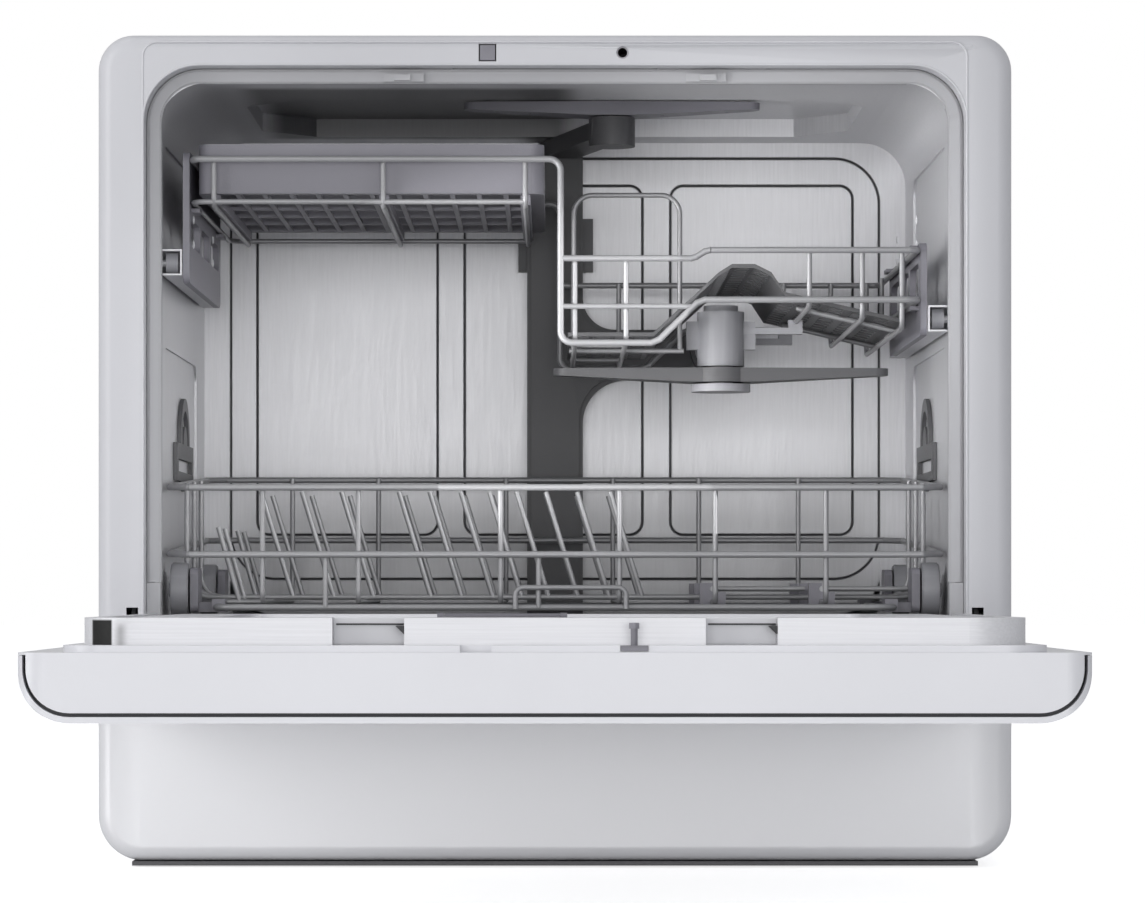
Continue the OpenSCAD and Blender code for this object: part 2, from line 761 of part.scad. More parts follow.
module water_column() {
    color(dark) difference() {
        union() {
            translate(at(0, column_back, 0)) rotate([90, 0, 0]) linear_extrude(column_t - 4) column_outline(0);
            translate(at(0, column_back - column_t + 5, 0)) rotate([90, 0, 0]) linear_extrude(4) column_outline(2.5);
            // socket for the upper rack's feed tube
            bar_y(mid_arm_x, feed_z, 306, column_back - 2, 14);
            // duct along the ceiling to the top arm
            translate([0, front_y, tub_top - 12]) linear_extrude(11)
                polygon([[-12, column_back - 4], [12, column_back - 4], [top_arm_x + 13, top_arm_d + 6],
                    [top_arm_x + 13, top_arm_d - 8], [top_arm_x - 13, top_arm_d - 8], [top_arm_x - 13, top_arm_d + 6]]);
            bar_z(top_arm_x, top_arm_d, tub_top - 18, tub_top + 0.4, 15);
            bar_z(top_arm_x, top_arm_d, tub_top, tub_top + 10.2, arm_pin_r);
            // clips beside the column
            block(column_half - 1, column_half + 7, column_back - 8, column_back, 384, 420);
            block(-column_half - 6, -column_half + 1, column_back - 8, column_back, 384, 404);
        }
        bar_y(mid_arm_x, feed_z, 300, 326, 10.5);
        // clear of the back wall above its pressed panel
        block(-column_half - 1, column_half + 1, column_back - 1.2, column_back + 1, 461.5, tub_top + 5);
    }
}

// A spray arm: a tapered blade on a round hub, with nozzles along its top
module spray_arm(x, d, z, half_len, root_w, tip_w, hub_r, up) {
    translate(at(x, d, z)) difference() {
        union() {
            intersection() {
                linear_extrude(arm_t) {
                    polygon([[-half_len + tip_w / 2, -tip_w / 2], [0, -root_w / 2], [half_len - tip_w / 2, -tip_w / 2],
                        [half_len - tip_w / 2, tip_w / 2], [0, root_w / 2], [-half_len + tip_w / 2, tip_w / 2]]);
                    for (s = [-1, 1]) translate([s * (half_len - tip_w / 2), 0]) circle(r = tip_w / 2, $fn = 48);
                }
                translate([0, root_w, 0]) rotate([90, 0, 0]) linear_extrude(2 * root_w)
                    polygon([[-half_len, arm_t * (up ? 0.5 : 0)], [-hub_r, 0], [hub_r, 0], [half_len, arm_t * (up ? 0.5 : 0)],
                        [half_len, arm_t * (up ? 1 : 0.5)], [hub_r, arm_t], [-hub_r, arm_t],
                        [-half_len, arm_t * (up ? 1 : 0.5)]]);
            }
            cylinder(h = arm_t, r = hub_r, $fn = 64);
        }
        translate([0, 0, -1]) cylinder(h = arm_t + 2, r = arm_pin_r + run, $fn = 64);
        for (s = [-1, 1], i = [0.34, 0.56, 0.78])
            translate([s * i * half_len, s * 2.5, -1]) cylinder(h = arm_t + 2, r = 1.5, $fn = 24);
    }
}

low_arm_z = 136;

module lower_arm_hub() {
    color(dark) {
        bar_z(0, spray_d, 124.8, 129, 4.2);
        bar_z(0, spray_d, 128, low_arm_z - 1.2, 17);
        bar_z(0, spray_d, low_arm_z - 1.2, low_arm_z + arm_t + 1.2, arm_pin_r);
        bar_z(0, spray_d, low_arm_z + arm_t + 1, low_arm_z + arm_t + 5.5, 14);
    }
}

module lower_spray_arm() {
    color(dark) spray_arm(0, spray_d, low_arm_z, low_arm_len, 46, 26, 20, false);
}

module top_spray_arm() {
    color(grey) spray_arm(top_arm_x, top_arm_d, tub_top + 1.4, top_arm_len, 26, 15, 13, true);
}

module middle_spray_arm() {
    color(dark) spray_arm(mid_arm_x, mid_arm_d, mid_arm_z, mid_arm_len, 34, 18, 20, true);
}

// The tube under the basket that feeds the middle arm, with the arm's pin and nut
module feed_tube() {
    color(light_grey) {
        bar_z(mid_arm_x, mid_arm_d, mid_arm_z + arm_t + 1.2, feed_z + 16, 15);
        bar_z(mid_arm_x, mid_arm_d, feed_z + 16, feed_z + 20, 11);
        bar_y(mid_arm_x, feed_z, mid_arm_d, 305, 9.4);
        bar_y(mid_arm_x, feed_z, 300, 320, 8.6);
        bar_y(mid_arm_x, feed_z, 292, 297, 11.5);
        bar_z(mid_arm_x, mid_arm_d, mid_arm_z - 1.4, mid_arm_z + arm_t + 1.4, arm_pin_r);
        bar_z(mid_arm_x, mid_arm_d, mid_arm_z - 6, mid_arm_z - 1.2, 19);
        both_sides_of_feed() block(0, 22, mid_arm_d - 4, mid_arm_d + 4, feed_z - 8, feed_z + 10);
        // clips on the basket's floor wire
        for (d = [mid_arm_d, 270]) difference() {
            block(mid_arm_x, clip_wire_x + 4, d - 5, d + 5, feed_z + 2, clip_wire_z + 1);
            block(mid_arm_x - 1, clip_wire_x - 5, d - 6, d + 6, feed_z + 6, clip_wire_z + 2);
            bar_y(clip_wire_x, clip_wire_z, d - 6, d + 6, tine_r + 0.15);
        }
    }
}

module both_sides_of_feed() {
    for (s = [0, 1]) translate([mid_arm_x, 0, 0]) mirror([s, 0, 0]) children();
}

// Vents on the tub's side walls: an arch and a slot on each
module side_ports() {
    color(black) both_sides() translate(at(tub_w / 2 + press_depth - 2.9, 0, 0)) rotate([90, 0, 90]) linear_extrude(2.6) {
        translate([130, 236]) difference() {
            union() {
                square([110, 24]);
                translate([55, 24]) circle(r = 30, $fn = 72);
            }
            translate([10, 6]) square([90, 8]);
            translate([55, 24]) difference() {
                circle(r = 22, $fn = 72);
                circle(r = 12, $fn = 72);
                translate([-30, -30]) square([60, 30]);
            }
        }
    }
}

// --- Slide rails of the upper rack ---

rail_gap = roller_r + fit;
rail_web = tub_w / 2 - 14;

module roller(side, d, z) {
    mirror([side < 0 ? 1 : 0, 0, 0]) color(light_grey) difference() {
        bar_x(rail_web + 2.6, rail_web + 10, d, z, roller_r);
        bar_x(rail_web, rail_web + 14, d, z, 2.2 + run);
        bar_x(rail_web + 8.6, rail_web + 11, d, z, roller_r - 2);
    }
}

module roller_front_left() roller(-1, roller_d[0], rail_left_z);
module roller_rear_left() roller(-1, roller_d[1], rail_left_z);
module roller_front_right() roller(1, roller_d[0], rail_right_z);
module roller_rear_right() roller(1, roller_d[1], rail_right_z);

// A C-shaped rail, open towards the tub's wall, with a stop at each end
module slide_rail(z) {
    g = rail_gap;
    difference() {
        block(rail_web, rail_web + 11.6, rack_front + 4, rack_back, z - g - 1, z + g + 1);
        block(rail_web + 1, rail_web + 12, rack_front + 3, rack_back - 6, z - g, z + g);
    }
}

module upper_rails() {
    color(bright) {
        mirror([1, 0, 0]) slide_rail(rail_left_z);
        slide_rail(rail_right_z);
    }
}

// --- Hinges and latch ---

arm_half = 1.3;                    // half the thickness of a hinge arm
cheek_in = arm_half + fit;
cheek_out = cheek_in + 1.5;
lever = 20;                        // reach of the spring lever, back and up
spring_x = hinge_x + 8.5;
anchor_z = 52;

// A flat steel plate in the YZ plane; its outline is given in depth and height from the hinge axis
module plate_yz(x0, x1) {
    translate(at(x0, 0, hinge_z)) rotate([90, 0, 90]) linear_extrude(x1 - x0) children();
}

module hinge_brackets() {
    foot = base_lift + sheet_t + 0.6 - hinge_z;
    color(steel) both_sides() {
        plate_yz(hinge_x - cheek_out, hinge_x - cheek_in) {
            circle(r = 6.5, $fn = 48);
            polygon([[0, -6.5], [3.4, -6.5], [3.4, -50], [18, -60], [18, foot], [56, foot], [56, 6.5], [0, 6.5]]);
        }
        plate_yz(hinge_x + cheek_in, hinge_x + cheek_out) {
            circle(r = 6.5, $fn = 48);
            polygon([[0, -6.5], [3.4, -6.5], [3.4, -30], [10, -30], [10, 0], [6.5, 0], [0, 6.5]]);
        }
        block(hinge_x - cheek_in - 0.1, hinge_x + cheek_in + 0.1, 7, 10, hinge_z - 30, hinge_z - 22);
        bar_x(hinge_x - cheek_out, hinge_x + cheek_out, 0, hinge_z, pin_r);
        bar_x(hinge_x - cheek_in - 0.1, spring_x + 4, lever, anchor_z, 2);
    }
}

module hinge_arms() {
    color(steel) both_sides() difference() {
        union() {
            plate_yz(hinge_x - arm_half, hinge_x + arm_half) {
                circle(r = 6, $fn = 48);
                polygon([[-6, 0], [-14, -9], [-104, -9], [-110, -14], [-110, -24], [-14, -24], [-3.5, -7.8], [0, -5.9]]);
                translate([lever, lever]) circle(r = 4.5, $fn = 32);
                polygon([[-2.8, 2.8], [lever - 2.8, lever + 2.8], [lever + 2.8, lever - 2.8], [2.8, -2.8]]);
            }
            bar_x(hinge_x, spring_x + 4, lever, hinge_z + lever, 2);
        }
        bar_x(hinge_x - 3, hinge_x + 3, 0, hinge_z, pin_r + run);
        for (s = [-40, -90]) bar_x(hinge_x - 3, hinge_x + 3, s, hinge_z - 16, 2.2);
    }
}

// A coil spring from z0 to z1: a six-sided tube swept along a helix
module coil(x, d, z0, z1, r, wire_r, turns) {
    steps = 10;
    n = turns * steps;
    rings = [for (i = [0 : n], k = [0 : 5])
        let (a = 360 * i / steps, b = 60 * k)
        [(r + wire_r * cos(b)) * cos(a), (r + wire_r * cos(b)) * sin(a), z0 + (z1 - z0) * i / n + wire_r * sin(b)]];
    sides = [for (i = [0 : n - 1], k = [0 : 5])
        let (k2 = (k + 1) % 6)
        each [[i * 6 + k, (i + 1) * 6 + k, i * 6 + k2], [i * 6 + k2, (i + 1) * 6 + k, (i + 1) * 6 + k2]]];
    translate(at(x, d, 0)) polyhedron(points = rings, convexity = 4,
        faces = concat(sides, [[0, 1, 2, 3, 4, 5]], [[for (k = [5 : -1 : 0]) n * 6 + k]]));
}

module door_springs() {
    color(bright) both_sides()
        coil(spring_x, lever, anchor_z + 3.4, hinge_z + lever - 3.4, 3.9, 0.8, 12);
}

rod_half = 4.5;

// Housing of the door lock and of the rod that pushes the door open after the programme
module latch_housing() {
    z0 = mouth_top + frame_wall + fit;
    z1 = case_h - 3 - fit;
    color(dark) difference() {
        union() {
            block(-62, 62, gasket_front + 9.6, 78, tub_top + tub_t + 2, z1);
            block(lock_x - 8, lock_x + 8, 3.3, gasket_front + 9.6, z0, z1);
            block(-lock_x - 8, -lock_x + 8, 3.3, gasket_front + 9.6, z0, z1);
        }
        bar_y(lock_x, lock_z, 0, 34, 3.7);
        block(-lock_x - rod_half - fit, -lock_x + rod_half + fit, 0, 72, lock_z - rod_half - fit,
            lock_z + rod_half + fit);
        block(-18, 18, 30, 72, lock_z - 6, z1 + 1);
    }
}

module opener_rod() {
    color(grey) difference() {
        block(-lock_x - rod_half, -lock_x + rod_half, 0.4, 66, lock_z - rod_half, lock_z + rod_half);
        for (i = [0 : 7]) block(-lock_x - 2, -lock_x + 2, 24 + i * 5, 26.5 + i * 5, lock_z + rod_half - 1.5, case_h);
    }
}

// --- Door, modelled open: s runs forward from the hinge axis and t upward ---

module door_block(x0, x1, s0, s1, t0, t1) {
    block(x0, x1, -s1, -s0, hinge_z + t0, hinge_z + t1);
}

// Section of the door across its width
module door_section(inset, top) {
    w = case_w / 2 - inset;
    r = door_edge_r - inset;
    low = skin_bottom + inset;
    translate([-w, low + r]) square([2 * w, top - low - r]);
    translate([-w + r, low]) square([2 * (w - r), r]);
    for (s = [-1, 1]) translate([s * (w - r), low + r]) intersection() {
        circle(r = r, $fn = 96);
        translate([-r, -r]) square([2 * r, r + 0.01]);
    }
}

module door_run(s0, s1, inset, top) {
    translate(at(0, -s0, hinge_z)) rotate([90, 0, 0]) linear_extrude(s1 - s0) door_section(inset, top);
}

// Plan of a plate on the door: square at the hinge, with round corners at the free end
module door_plan(w, s0, s1, r, t0, t1, r_hinge = 2) {
    translate([0, front_y, hinge_z + t0]) linear_extrude(t1 - t0) {
        translate([-w / 2, -s1 + r]) square([w, s1 - s0 - r - r_hinge]);
        translate([-w / 2 + r, -s1]) square([w - 2 * r, r]);
        translate([-w / 2 + r_hinge, -s0 - r_hinge]) square([w - 2 * r_hinge, r_hinge]);
        for (s = [-1, 1]) {
            translate([s * (w / 2 - r), -s1 + r]) circle(r = r, $fn = 96);
            translate([s * (w / 2 - r_hinge), -s0 - r_hinge]) circle(r = r_hinge, $fn = 48);
        }
    }
}

door_start = 0.8;
mat_gap = 2;
shell_inset = skin_t + mat_gap;
shell_wall = 2.6;
tier_w = 2 * (mouth_w / 2 + 7);
window_s = [322, 344];
window_half = 92;
grip_s = [282, 310];
grip_half = 70;
grip_depth = 17;

module door_outer_panel() {
    color(white) difference() {
        intersection() {
            door_run(door_start, door_len, 0, rim_t - 1.5);
            door_plan(case_w, door_start, door_len, door_corner_r, skin_bottom - 1, rim_t, 3);
        }
        door_run(door_start - 1, door_len + 1, skin_t, rim_t + 1);
        door_block(-window_half, window_half, window_s[0], window_s[1], skin_bottom - 1, skin_bottom + skin_t + 1);
        door_block(-grip_half, grip_half, grip_s[0], grip_s[1], skin_bottom - 1, skin_bottom + skin_t + 1);
    }
}

// Dark damping mat between the outer panel and the inner shell
module door_core() {
    color(black) difference() {
        intersection() {
            door_run(door_start + 2, door_len - 3, skin_t + 0.1, rim_t - 3);
            door_plan(case_w - 2 * skin_t, door_start, door_len - 3, door_corner_r, skin_bottom, rim_t, 3);
        }
        door_run(door_start, door_len, shell_inset - 0.1, rim_t + 1);
        door_block(-window_half - 2, window_half + 2, window_s[0] - 2, window_s[1] + 2, skin_bottom - 1, 0);
        door_block(-grip_half - 3, grip_half + 3, grip_s[0] - 3, grip_s[1] + 3, skin_bottom - 1, 0);
    }
}

// The white moulded shell that makes the door's rim and its end faces
module door_inner_shell() {
    color(white) difference() {
        union() {
            intersection() {
                door_run(door_start, door_len, shell_inset, rim_t);
                door_plan(case_w, door_start, door_len, door_corner_r, skin_bottom, rim_t, 3);
            }
            // lips that cover the outer panel's upper edges
            intersection() {
                door_plan(case_w, door_start, door_len, door_corner_r, rim_t - 1.2, rim_t, 3);
                door_run(door_start, door_len, 0, rim_t);
            }
            door_plan(tier_w, door_start, door_len - 6, 22, rim_t - 1, -0.5, 3);
        }
        door_run(door_start + 3, door_len - 3, shell_inset + shell_wall, rim_t - shell_wall);
        // room for the hinges
        both_sides() {
            bar_x(hinge_x - 4.2, hinge_x + 4.2, 0, hinge_z, 8);
            door_block(hinge_x - 4.2, hinge_x + 4.2, -1, 16, -27, 1);
        }
        door_block(-cup_half - 1.4, cup_half + 1.4, cup_s[0] - 1.4, cup_s[1] + 1.4, -20, 1);
        door_block(-window_half - 2, window_half + 2, window_s[0] - 2, window_s[1] + 2, skin_bottom - 1, -26);
        door_block(-grip_half - 3, grip_half + 3, grip_s[0] - 3, grip_s[1] + 3, skin_bottom - 1, -26);
        // notch that the opener rod pushes on, and the strike's seat
        door_block(-lock_x - 8, -lock_x + 8, lock_s - 6, door_len - 5, rim_t - 0.4, 0);
        door_block(lock_x - 7.2, lock_x + 7.2, lock_s - 5.2, door_len - 5, rim_t + 0.5, 0);
    }
    // blocks that the hinge arms are screwed to
    color(white) both_sides() door_block(hinge_x - 7, hinge_x - cheek_in, 36, 104, -30, rim_t - shell_wall + 1);
}

cup_half = 74;
cup_s = [108, 214];
track_in = 222.5;
track_out = 237.5;
pocket = [77.5, 114.5];
pocket_depth = 12;
liner_t = 1;

module liner_body(inset, top) {
    door_plan(liner_w - 2 * inset, 2 + inset, liner_end - inset, mouth_r - 0.6 - inset, -0.5 - (inset > 0 ? 1 : 0), top, 12);
}

// The pressed steel liner on the door's inside, with tracks for the lower rack's wheels
module door_liner() {
    track_t = ledge_z - hinge_z;
    color(bright) difference() {
        liner_body(0, liner_top);
        difference() {
            liner_body(liner_t, liner_top - liner_t);
            both_sides() {
                door_block(track_in - liner_t, track_out + liner_t, 0, 306, track_t - liner_t, liner_top);
                door_block(pocket[0] - liner_t, pocket[1] + liner_t, liner_end - pocket_depth - liner_t, liner_end, -2, liner_top);
            }
            door_block(-182, 182, 24, 312, liner_top - liner_t - 2, liner_top);
        }
        both_sides() {
            door_block(track_in, track_out, -1, 305, track_t, liner_top + 1);
            door_block(pocket[0], pocket[1], liner_end - pocket_depth, liner_end + 1, -2, liner_top + 1);
        }
        translate([0, 0, hinge_z + liner_top - 2]) linear_extrude(4)
            translate([-180, front_y - 310]) round_rect(360, 284, 14);
        door_block(-cup_half - fit, cup_half + fit, cup_s[0] - fit, cup_s[1] + fit, -2, liner_top + 1);
    }
}

// The strike: a headed pin on a small foot, which enters the lock's hole
module strike_pin() {
    color(grey) {
        door_block(lock_x - 7, lock_x + 7, lock_s - 5, door_len - 5.4, rim_t + 0.8, -0.6);
        bar_z(lock_x, -lock_s, hinge_z - 1, hinge_z + 8, 1.8);
        bar_z(lock_x, -lock_s, hinge_z + 8, hinge_z + 11, 2.6);
    }
}

cup = [-62, 2];
cup_well = [126, 198];
cap_x = 38;
cap_s = 160;
lid_hinge_s = 121;
dish_top = liner_top - 3.2;

// Detergent and rinse-aid dispenser, set into the liner
module dispenser_body() {
    color(grey) difference() {
        union() {
            door_block(-cup_half, cup_half, cup_s[0], cup_s[1], -18, dish_top);
            // ears of the lid's hinge
            for (x = [cup[0] - 5, cup[1] + 1]) {
                door_block(x, x + 4, lid_hinge_s - 2.6, lid_hinge_s + 2.6, dish_top - 1, dish_top + 2);
                bar_x(x, x + 4, -lid_hinge_s, hinge_z + dish_top + 2.2, 2.4);
            }
        }
        translate([0, 0, hinge_z - 14]) linear_extrude(60)
            translate([cup[0], front_y - cup_well[1]]) round_rect(cup[1] - cup[0], cup_well[1] - cup_well[0], 8);
        bar_z(cap_x, -cap_s, hinge_z - 12, hinge_z + 40, 15.5);
        for (x = [cup[0] - 6, cup[1]]) bar_x(x, x + 6, -lid_hinge_s, hinge_z + dish_top + 2.2, 1.5 + run);
        door_block(cup_half - 16, cup_half - 4, cup_s[0] + 20, cup_s[1] - 20, dish_top - 1.5, dish_top + 1);
    }
}

module dispenser_lid() {
    z = hinge_z + dish_top;
    color(grey) {
        difference() {
            door_block(cup[0] - 0.6, cup[1] + 0.6, lid_hinge_s, cup_well[1] + 5, dish_top + 0.7, dish_top + 2.8);
            door_block(cup[0] + 12, cup[1] - 12, cup_well[1] - 14, cup_well[1] - 6, dish_top + 1.9, dish_top + 4);
        }
        bar_x(cup[0] - 0.6, cup[1] + 0.6, -lid_hinge_s, z + 2.2, 2);
        bar_x(cup[0] - 4.6, cup[1] + 4.6, -lid_hinge_s, z + 2.2, 1.5);
    }
}

module rinse_cap() {
    z = hinge_z - 11.6;
    color(light_grey) difference() {
        union() {
            bar_z(cap_x, -cap_s, z, hinge_z + dish_top - 2, 15.5 - run);
            for (a = [0 : 30 : 150]) translate(at(cap_x, -cap_s, hinge_z + dish_top - 4)) rotate([0, 0, a])
                translate([-13, -1.2, 0]) cube([26, 2.4, 3.5]);
            translate(at(cap_x, -cap_s, hinge_z + dish_top - 2.1)) translate([-12, -2.5, 0]) cube([24, 5, 4]);
        }
        bar_z(cap_x, -cap_s, z - 1, z + 16, 12);
    }
}

// Smoked window of the touch controls, flush with the outer panel
module control_window() {
    color(black) door_block(-window_half + 0.3, window_half - 0.3, window_s[0] + 0.3, window_s[1] - 0.3, skin_bottom,
        skin_bottom + skin_t + 2);
}

// Recessed grip in the outer panel
module door_grip() {
    color(grey) difference() {
        union() {
            door_block(-grip_half + 0.3, grip_half - 0.3, grip_s[0] + 0.3, grip_s[1] - 0.3, skin_bottom,
                skin_bottom + grip_depth + 2);
            door_block(-grip_half - 2.6, grip_half + 2.6, grip_s[0] - 2.6, grip_s[1] + 2.6, skin_bottom + skin_t + 0.1,
                skin_bottom + skin_t + 1.6);
        }
        intersection() {
            door_block(-grip_half + 2.5, grip_half - 2.5, grip_s[0] + 2.5, grip_s[1] - 2.5, skin_bottom - 1,
                skin_bottom + grip_depth);
            translate(at(0, 0, 0)) translate([0, -grip_s[1] + 12, hinge_z + skin_bottom])
                rotate([0, 90, 0]) cylinder(h = 2 * grip_half, r = grip_depth + 8, center = true, $fn = 96);
        }
    }
}

// --- Lower rack ---

weld = 0.4;                        // how deep crossing wires are fused
step_in = rail_r + tine_r - weld;
lower_in = lower_w / 2 - step_in;
base_half = 206;
lower_back_top = lower_top + lower_rise;
long_wires = [-177, -119, -33, 39, 97, 164];
cross_wires = [110, 160, 210];
plate_tines = [-164.2, -138.6, -113.8, -77.8, -58.5, -39, -21, -4, 14.3, 33.9, 54.7];
long_z = lower_floor + step_in;
cross_z = long_z + 2 * tine_r - weld;

module lower_rack_frame() {
    f = rack_front + step_in;
    b = rack_back - step_in;
    color(steel) {
        hoop(-lower_w / 2, lower_w / 2, rack_front, rack_back, lower_top, lower_back_top, rail_r);
        hoop(-lower_w / 2, lower_w / 2, rack_front, rack_back, lower_mid, lower_mid + lower_rise, rail_r);
        hoop(-base_half, base_half, rack_front + 4, rack_back - 4, lower_floor, lower_floor, rail_r);
        for (x = long_wires)
            wire([at(x, f, lower_top + 1), at(x, f, long_z), at(x, b, long_z), at(x, b, lower_back_top + 1)], tine_r);
        for (d = cross_wires) {
            rise = lower_rise * (d - rack_front) / (rack_back - rack_front);
            wire([at(-lower_in, d, lower_top + rise + 1), at(-lower_in, d, cross_z), at(lower_in, d, cross_z),
                at(lower_in, d, lower_top + rise + 1)], tine_r, 14);
        }
        for (x = [-139, -10]) rod(at(x, f - 0.2, lower_floor), at(x, f - 0.2, lower_mid + 1), tine_r);
        wire([at(-24, rack_front + 0.8, lower_floor - 1), at(-24, rack_front + 0.8, lower_floor + 12),
            at(43, rack_front + 0.8, lower_floor + 12), at(43, rack_front + 0.8, lower_floor - 1)], tine_r, 5);
        // leaning plate tines
        for (d = [110, 210], x = plate_tines) rod(at(x, d, cross_z), at(x - 20, d, cross_z + 66), tine_r);
        for (d = [wheel_d[0], 110, 210, wheel_d[1]]) rod(at(-194, d, long_z), at(-207, d, long_z + 46), tine_r);
        for (d = wheel_d) rod(at(-base_half, d, long_z), at(-177, d, long_z), tine_r);
    }
}

fold_x = [97, 164];
fold_z = cross_z + tine_r + 3.6;
fold_d = [60, 262];

// A row of tines on a rod that folds down
module folding_tines(x, l) {
    color(steel) {
        rod(at(x, fold_d[0], fold_z), at(x, fold_d[1], fold_z), tine_r);
        for (d = [86.5 : 21 : 234]) rod(at(x + 0.5, d, fold_z), at(x + l, d, fold_z), tine_r);
    }
}

module folding_tines_left() folding_tines(fold_x[0], 58);
module folding_tines_right() folding_tines(fold_x[1], 56);

module tine_clips() {
    color(grey) for (x = fold_x, d = [fold_d[0] + 4, 160, fold_d[1] - 4]) difference() {
        block(x - 8, x + 8, d - 4, d + 4, long_z - 3.6, fold_z + 3.6);
        bar_y(x, long_z, d - 5, d + 5, tine_r + 0.15);
        bar_y(x, fold_z, d - 5, d + 5, tine_r + run);
        block(x - 9, x + 9, 160 - tine_r - fit, 160 + tine_r + fit, long_z, cross_z + tine_r + fit);
        block(x, x + 9, d - 5, d + 5, fold_z - tine_r - 0.2, fold_z + 4);
    }
}

carrier_in = base_half - 4;
carrier_out = wheel_x - wheel_half - 1.2;

module wheel_carriers() {
    color(grey) both_sides() for (d = wheel_d) {
        difference() {
            union() {
                standing_side(carrier_out - 5, carrier_out, d - 13, d + 13, lower_floor - 3, lower_floor + 24, 4);
                block(carrier_in, carrier_in + 8, d - 11, d + 11, lower_floor - 3, lower_floor + 5);
                block(carrier_in + 7, carrier_out - 4, d - 7, d + 7, lower_floor - 3, lower_floor + 3);
            }
            bar_y(base_half, lower_floor, d - 14, d + 14, rail_r + 0.15);
            block(carrier_in - 1, base_half, d - 14, d + 14, lower_floor - 1.2, lower_floor + 1.2);
            bar_x(carrier_in - 1, base_half + 3, d, long_z, tine_r + fit);
        }
        bar_x(carrier_out - 0.1, wheel_x + wheel_half + 0.4, d, wheel_z, 3);
        bar_x(wheel_x + wheel_half + 0.3, wheel_x + wheel_half + 1.8, d, wheel_z, 4.4);
    }
}

// A block with rounded edges along X
module standing_side(x0, x1, d0, d1, z0, z1, r) {
    translate(at(x0, d0, z0)) rotate([90, 0, 90]) linear_extrude(x1 - x0) round_rect(d1 - d0, z1 - z0, r);
}

module wheel(side, d) {
    x = wheel_x - wheel_half;
    mirror([side < 0 ? 1 : 0, 0, 0]) color(light_grey) difference() {
        union() {
            bar_x(x, x + 2 * wheel_half, d, wheel_z, wheel_r - 0.8);
            bar_x(x + 0.8, x + 2 * wheel_half - 0.8, d, wheel_z, wheel_r);
        }
        bar_x(x - 1, x + 2 * wheel_half + 1, d, wheel_z, 3 + run);
        difference() {
            bar_x(x + 2 * wheel_half - 3, x + 2 * wheel_half + 1, d, wheel_z, wheel_r - 3);
            bar_x(x, x + 2 * wheel_half, d, wheel_z, 6);
            for (a = [0 : 60 : 120]) translate(at(x, d, wheel_z)) rotate([a, 0, 0])
                translate([0, -wheel_r, -1.2]) cube([2 * wheel_half - 0.6, 2 * wheel_r, 2.4]);
        }
    }
}

module wheel_front_left() wheel(-1, wheel_d[0]);
module wheel_front_right() wheel(1, wheel_d[0]);
module wheel_rear_left() wheel(-1, wheel_d[1]);
module wheel_rear_right() wheel(1, wheel_d[1]);

// --- Upper rack: a high shelf on the left and a low basket on the right ---

upper_half = 219.4;
side_z = shelf_floor - 7.4;        // wires that carry the shelf tray
basket_x = 3.4;
bevel = [61, 88];
divider = [12, 79.5];
shelf_wires = [-206.4, -104, -18];
basket_wires = [[12, basket_floor], [43, basket_floor], [clip_wire_x, clip_wire_z],
    [186, clip_wire_z - 7.4], [210, clip_wire_z - 12.9]];

// The main wire: round the shelf's top, down at the middle and round the basket's floor
module stepped_wire() {
    r = rail_r;
    low = basket_mid + 2;
    wire([at(30, rack_front, basket_floor), at(basket_x, rack_front, basket_floor), at(basket_x, rack_front, shelf_top),
        at(-upper_half, rack_front, shelf_top), at(-upper_half, rack_back, shelf_top),
        at(basket_x, rack_back, shelf_top), at(basket_x, rack_back, basket_floor),
        at(bevel[0], rack_back, basket_floor), at(bevel[1], rack_back, low), at(upper_half, rack_back, low),
        at(upper_half, rack_front, low), at(bevel[1], rack_front, low), at(bevel[0], rack_front, basket_floor),
        at(30, rack_front, basket_floor)], r, 7);
}

module upper_rack_frame() {
    f = rack_front + step_in;
    b = rack_back - step_in;
    x0 = basket_x + 0.2;
    high = basket_top + 3;
    low = basket_mid + 2;
    over = 2 * tine_r - weld;
    color(steel) {
        stepped_wire();
        // top rail of the basket
        wire([at(x0, rack_front, basket_top - 2), at(84, rack_front, basket_top - 2), at(92, rack_front, high),
            at(upper_half, rack_front, high), at(upper_half, rack_back, high), at(x0, rack_back, high)],
            rail_r - 0.1, 6);
        rod(at(x0, rack_front, basket_mid - 2), at(bevel[1] - 4, rack_front, basket_mid - 2), tine_r);
        // lower wires of the shelf
        wire([at(-17.6, f + 1, side_z), at(-upper_half, f + 1, side_z), at(-upper_half, b - 1, side_z),
            at(-17.6, b - 1, side_z)], tine_r, 9);
        for (x = shelf_wires)
            wire([at(x, f, shelf_top + 1), at(x, f, side_z - over), at(x, b, side_z - over), at(x, b, shelf_top + 1)], tine_r);
        for (w = basket_wires) {
            top = w[0] < bevel[1] ? basket_top - 2 : high;
            ease = w[0] < bevel[1] ? 0 : weld + 0.05;
            wire([at(w[0], f + ease, top + 1), at(w[0], f + ease, w[1]), at(w[0], b - ease, w[1]),
                at(w[0], b - ease, high + 1)], tine_r);
        }
        for (d = [90, 250]) {
            rod(at(10, d, basket_floor + over), at(45, d, basket_floor + over), tine_r);
            wire([at(clip_wire_x - 4, d, clip_wire_z + over + 1), at(upper_half - 3.1, d, clip_wire_z + over - 14.2),
                at(upper_half - 3.1, d, high + 1)], tine_r, 3);
        }
        // divider that holds glasses upright
        rod(at(9, 150, basket_floor + over), at(82, 150, basket_floor + over), tine_r);
        wire([at(divider[0], 150.3, basket_floor + over), at(divider[0], 150.3, basket_floor + 102),
            at(divider[1], 150.3, basket_floor + 102), at(divider[1], 150.3, basket_floor + over)], tine_r, 12);
    }
}

tray_d = [rack_front + step_in + tine_r + 4, rack_back - step_in - tine_r - 4];
tray_x = [-upper_half + rail_r + 0.8, basket_x - 10];
tray_wall = 2;

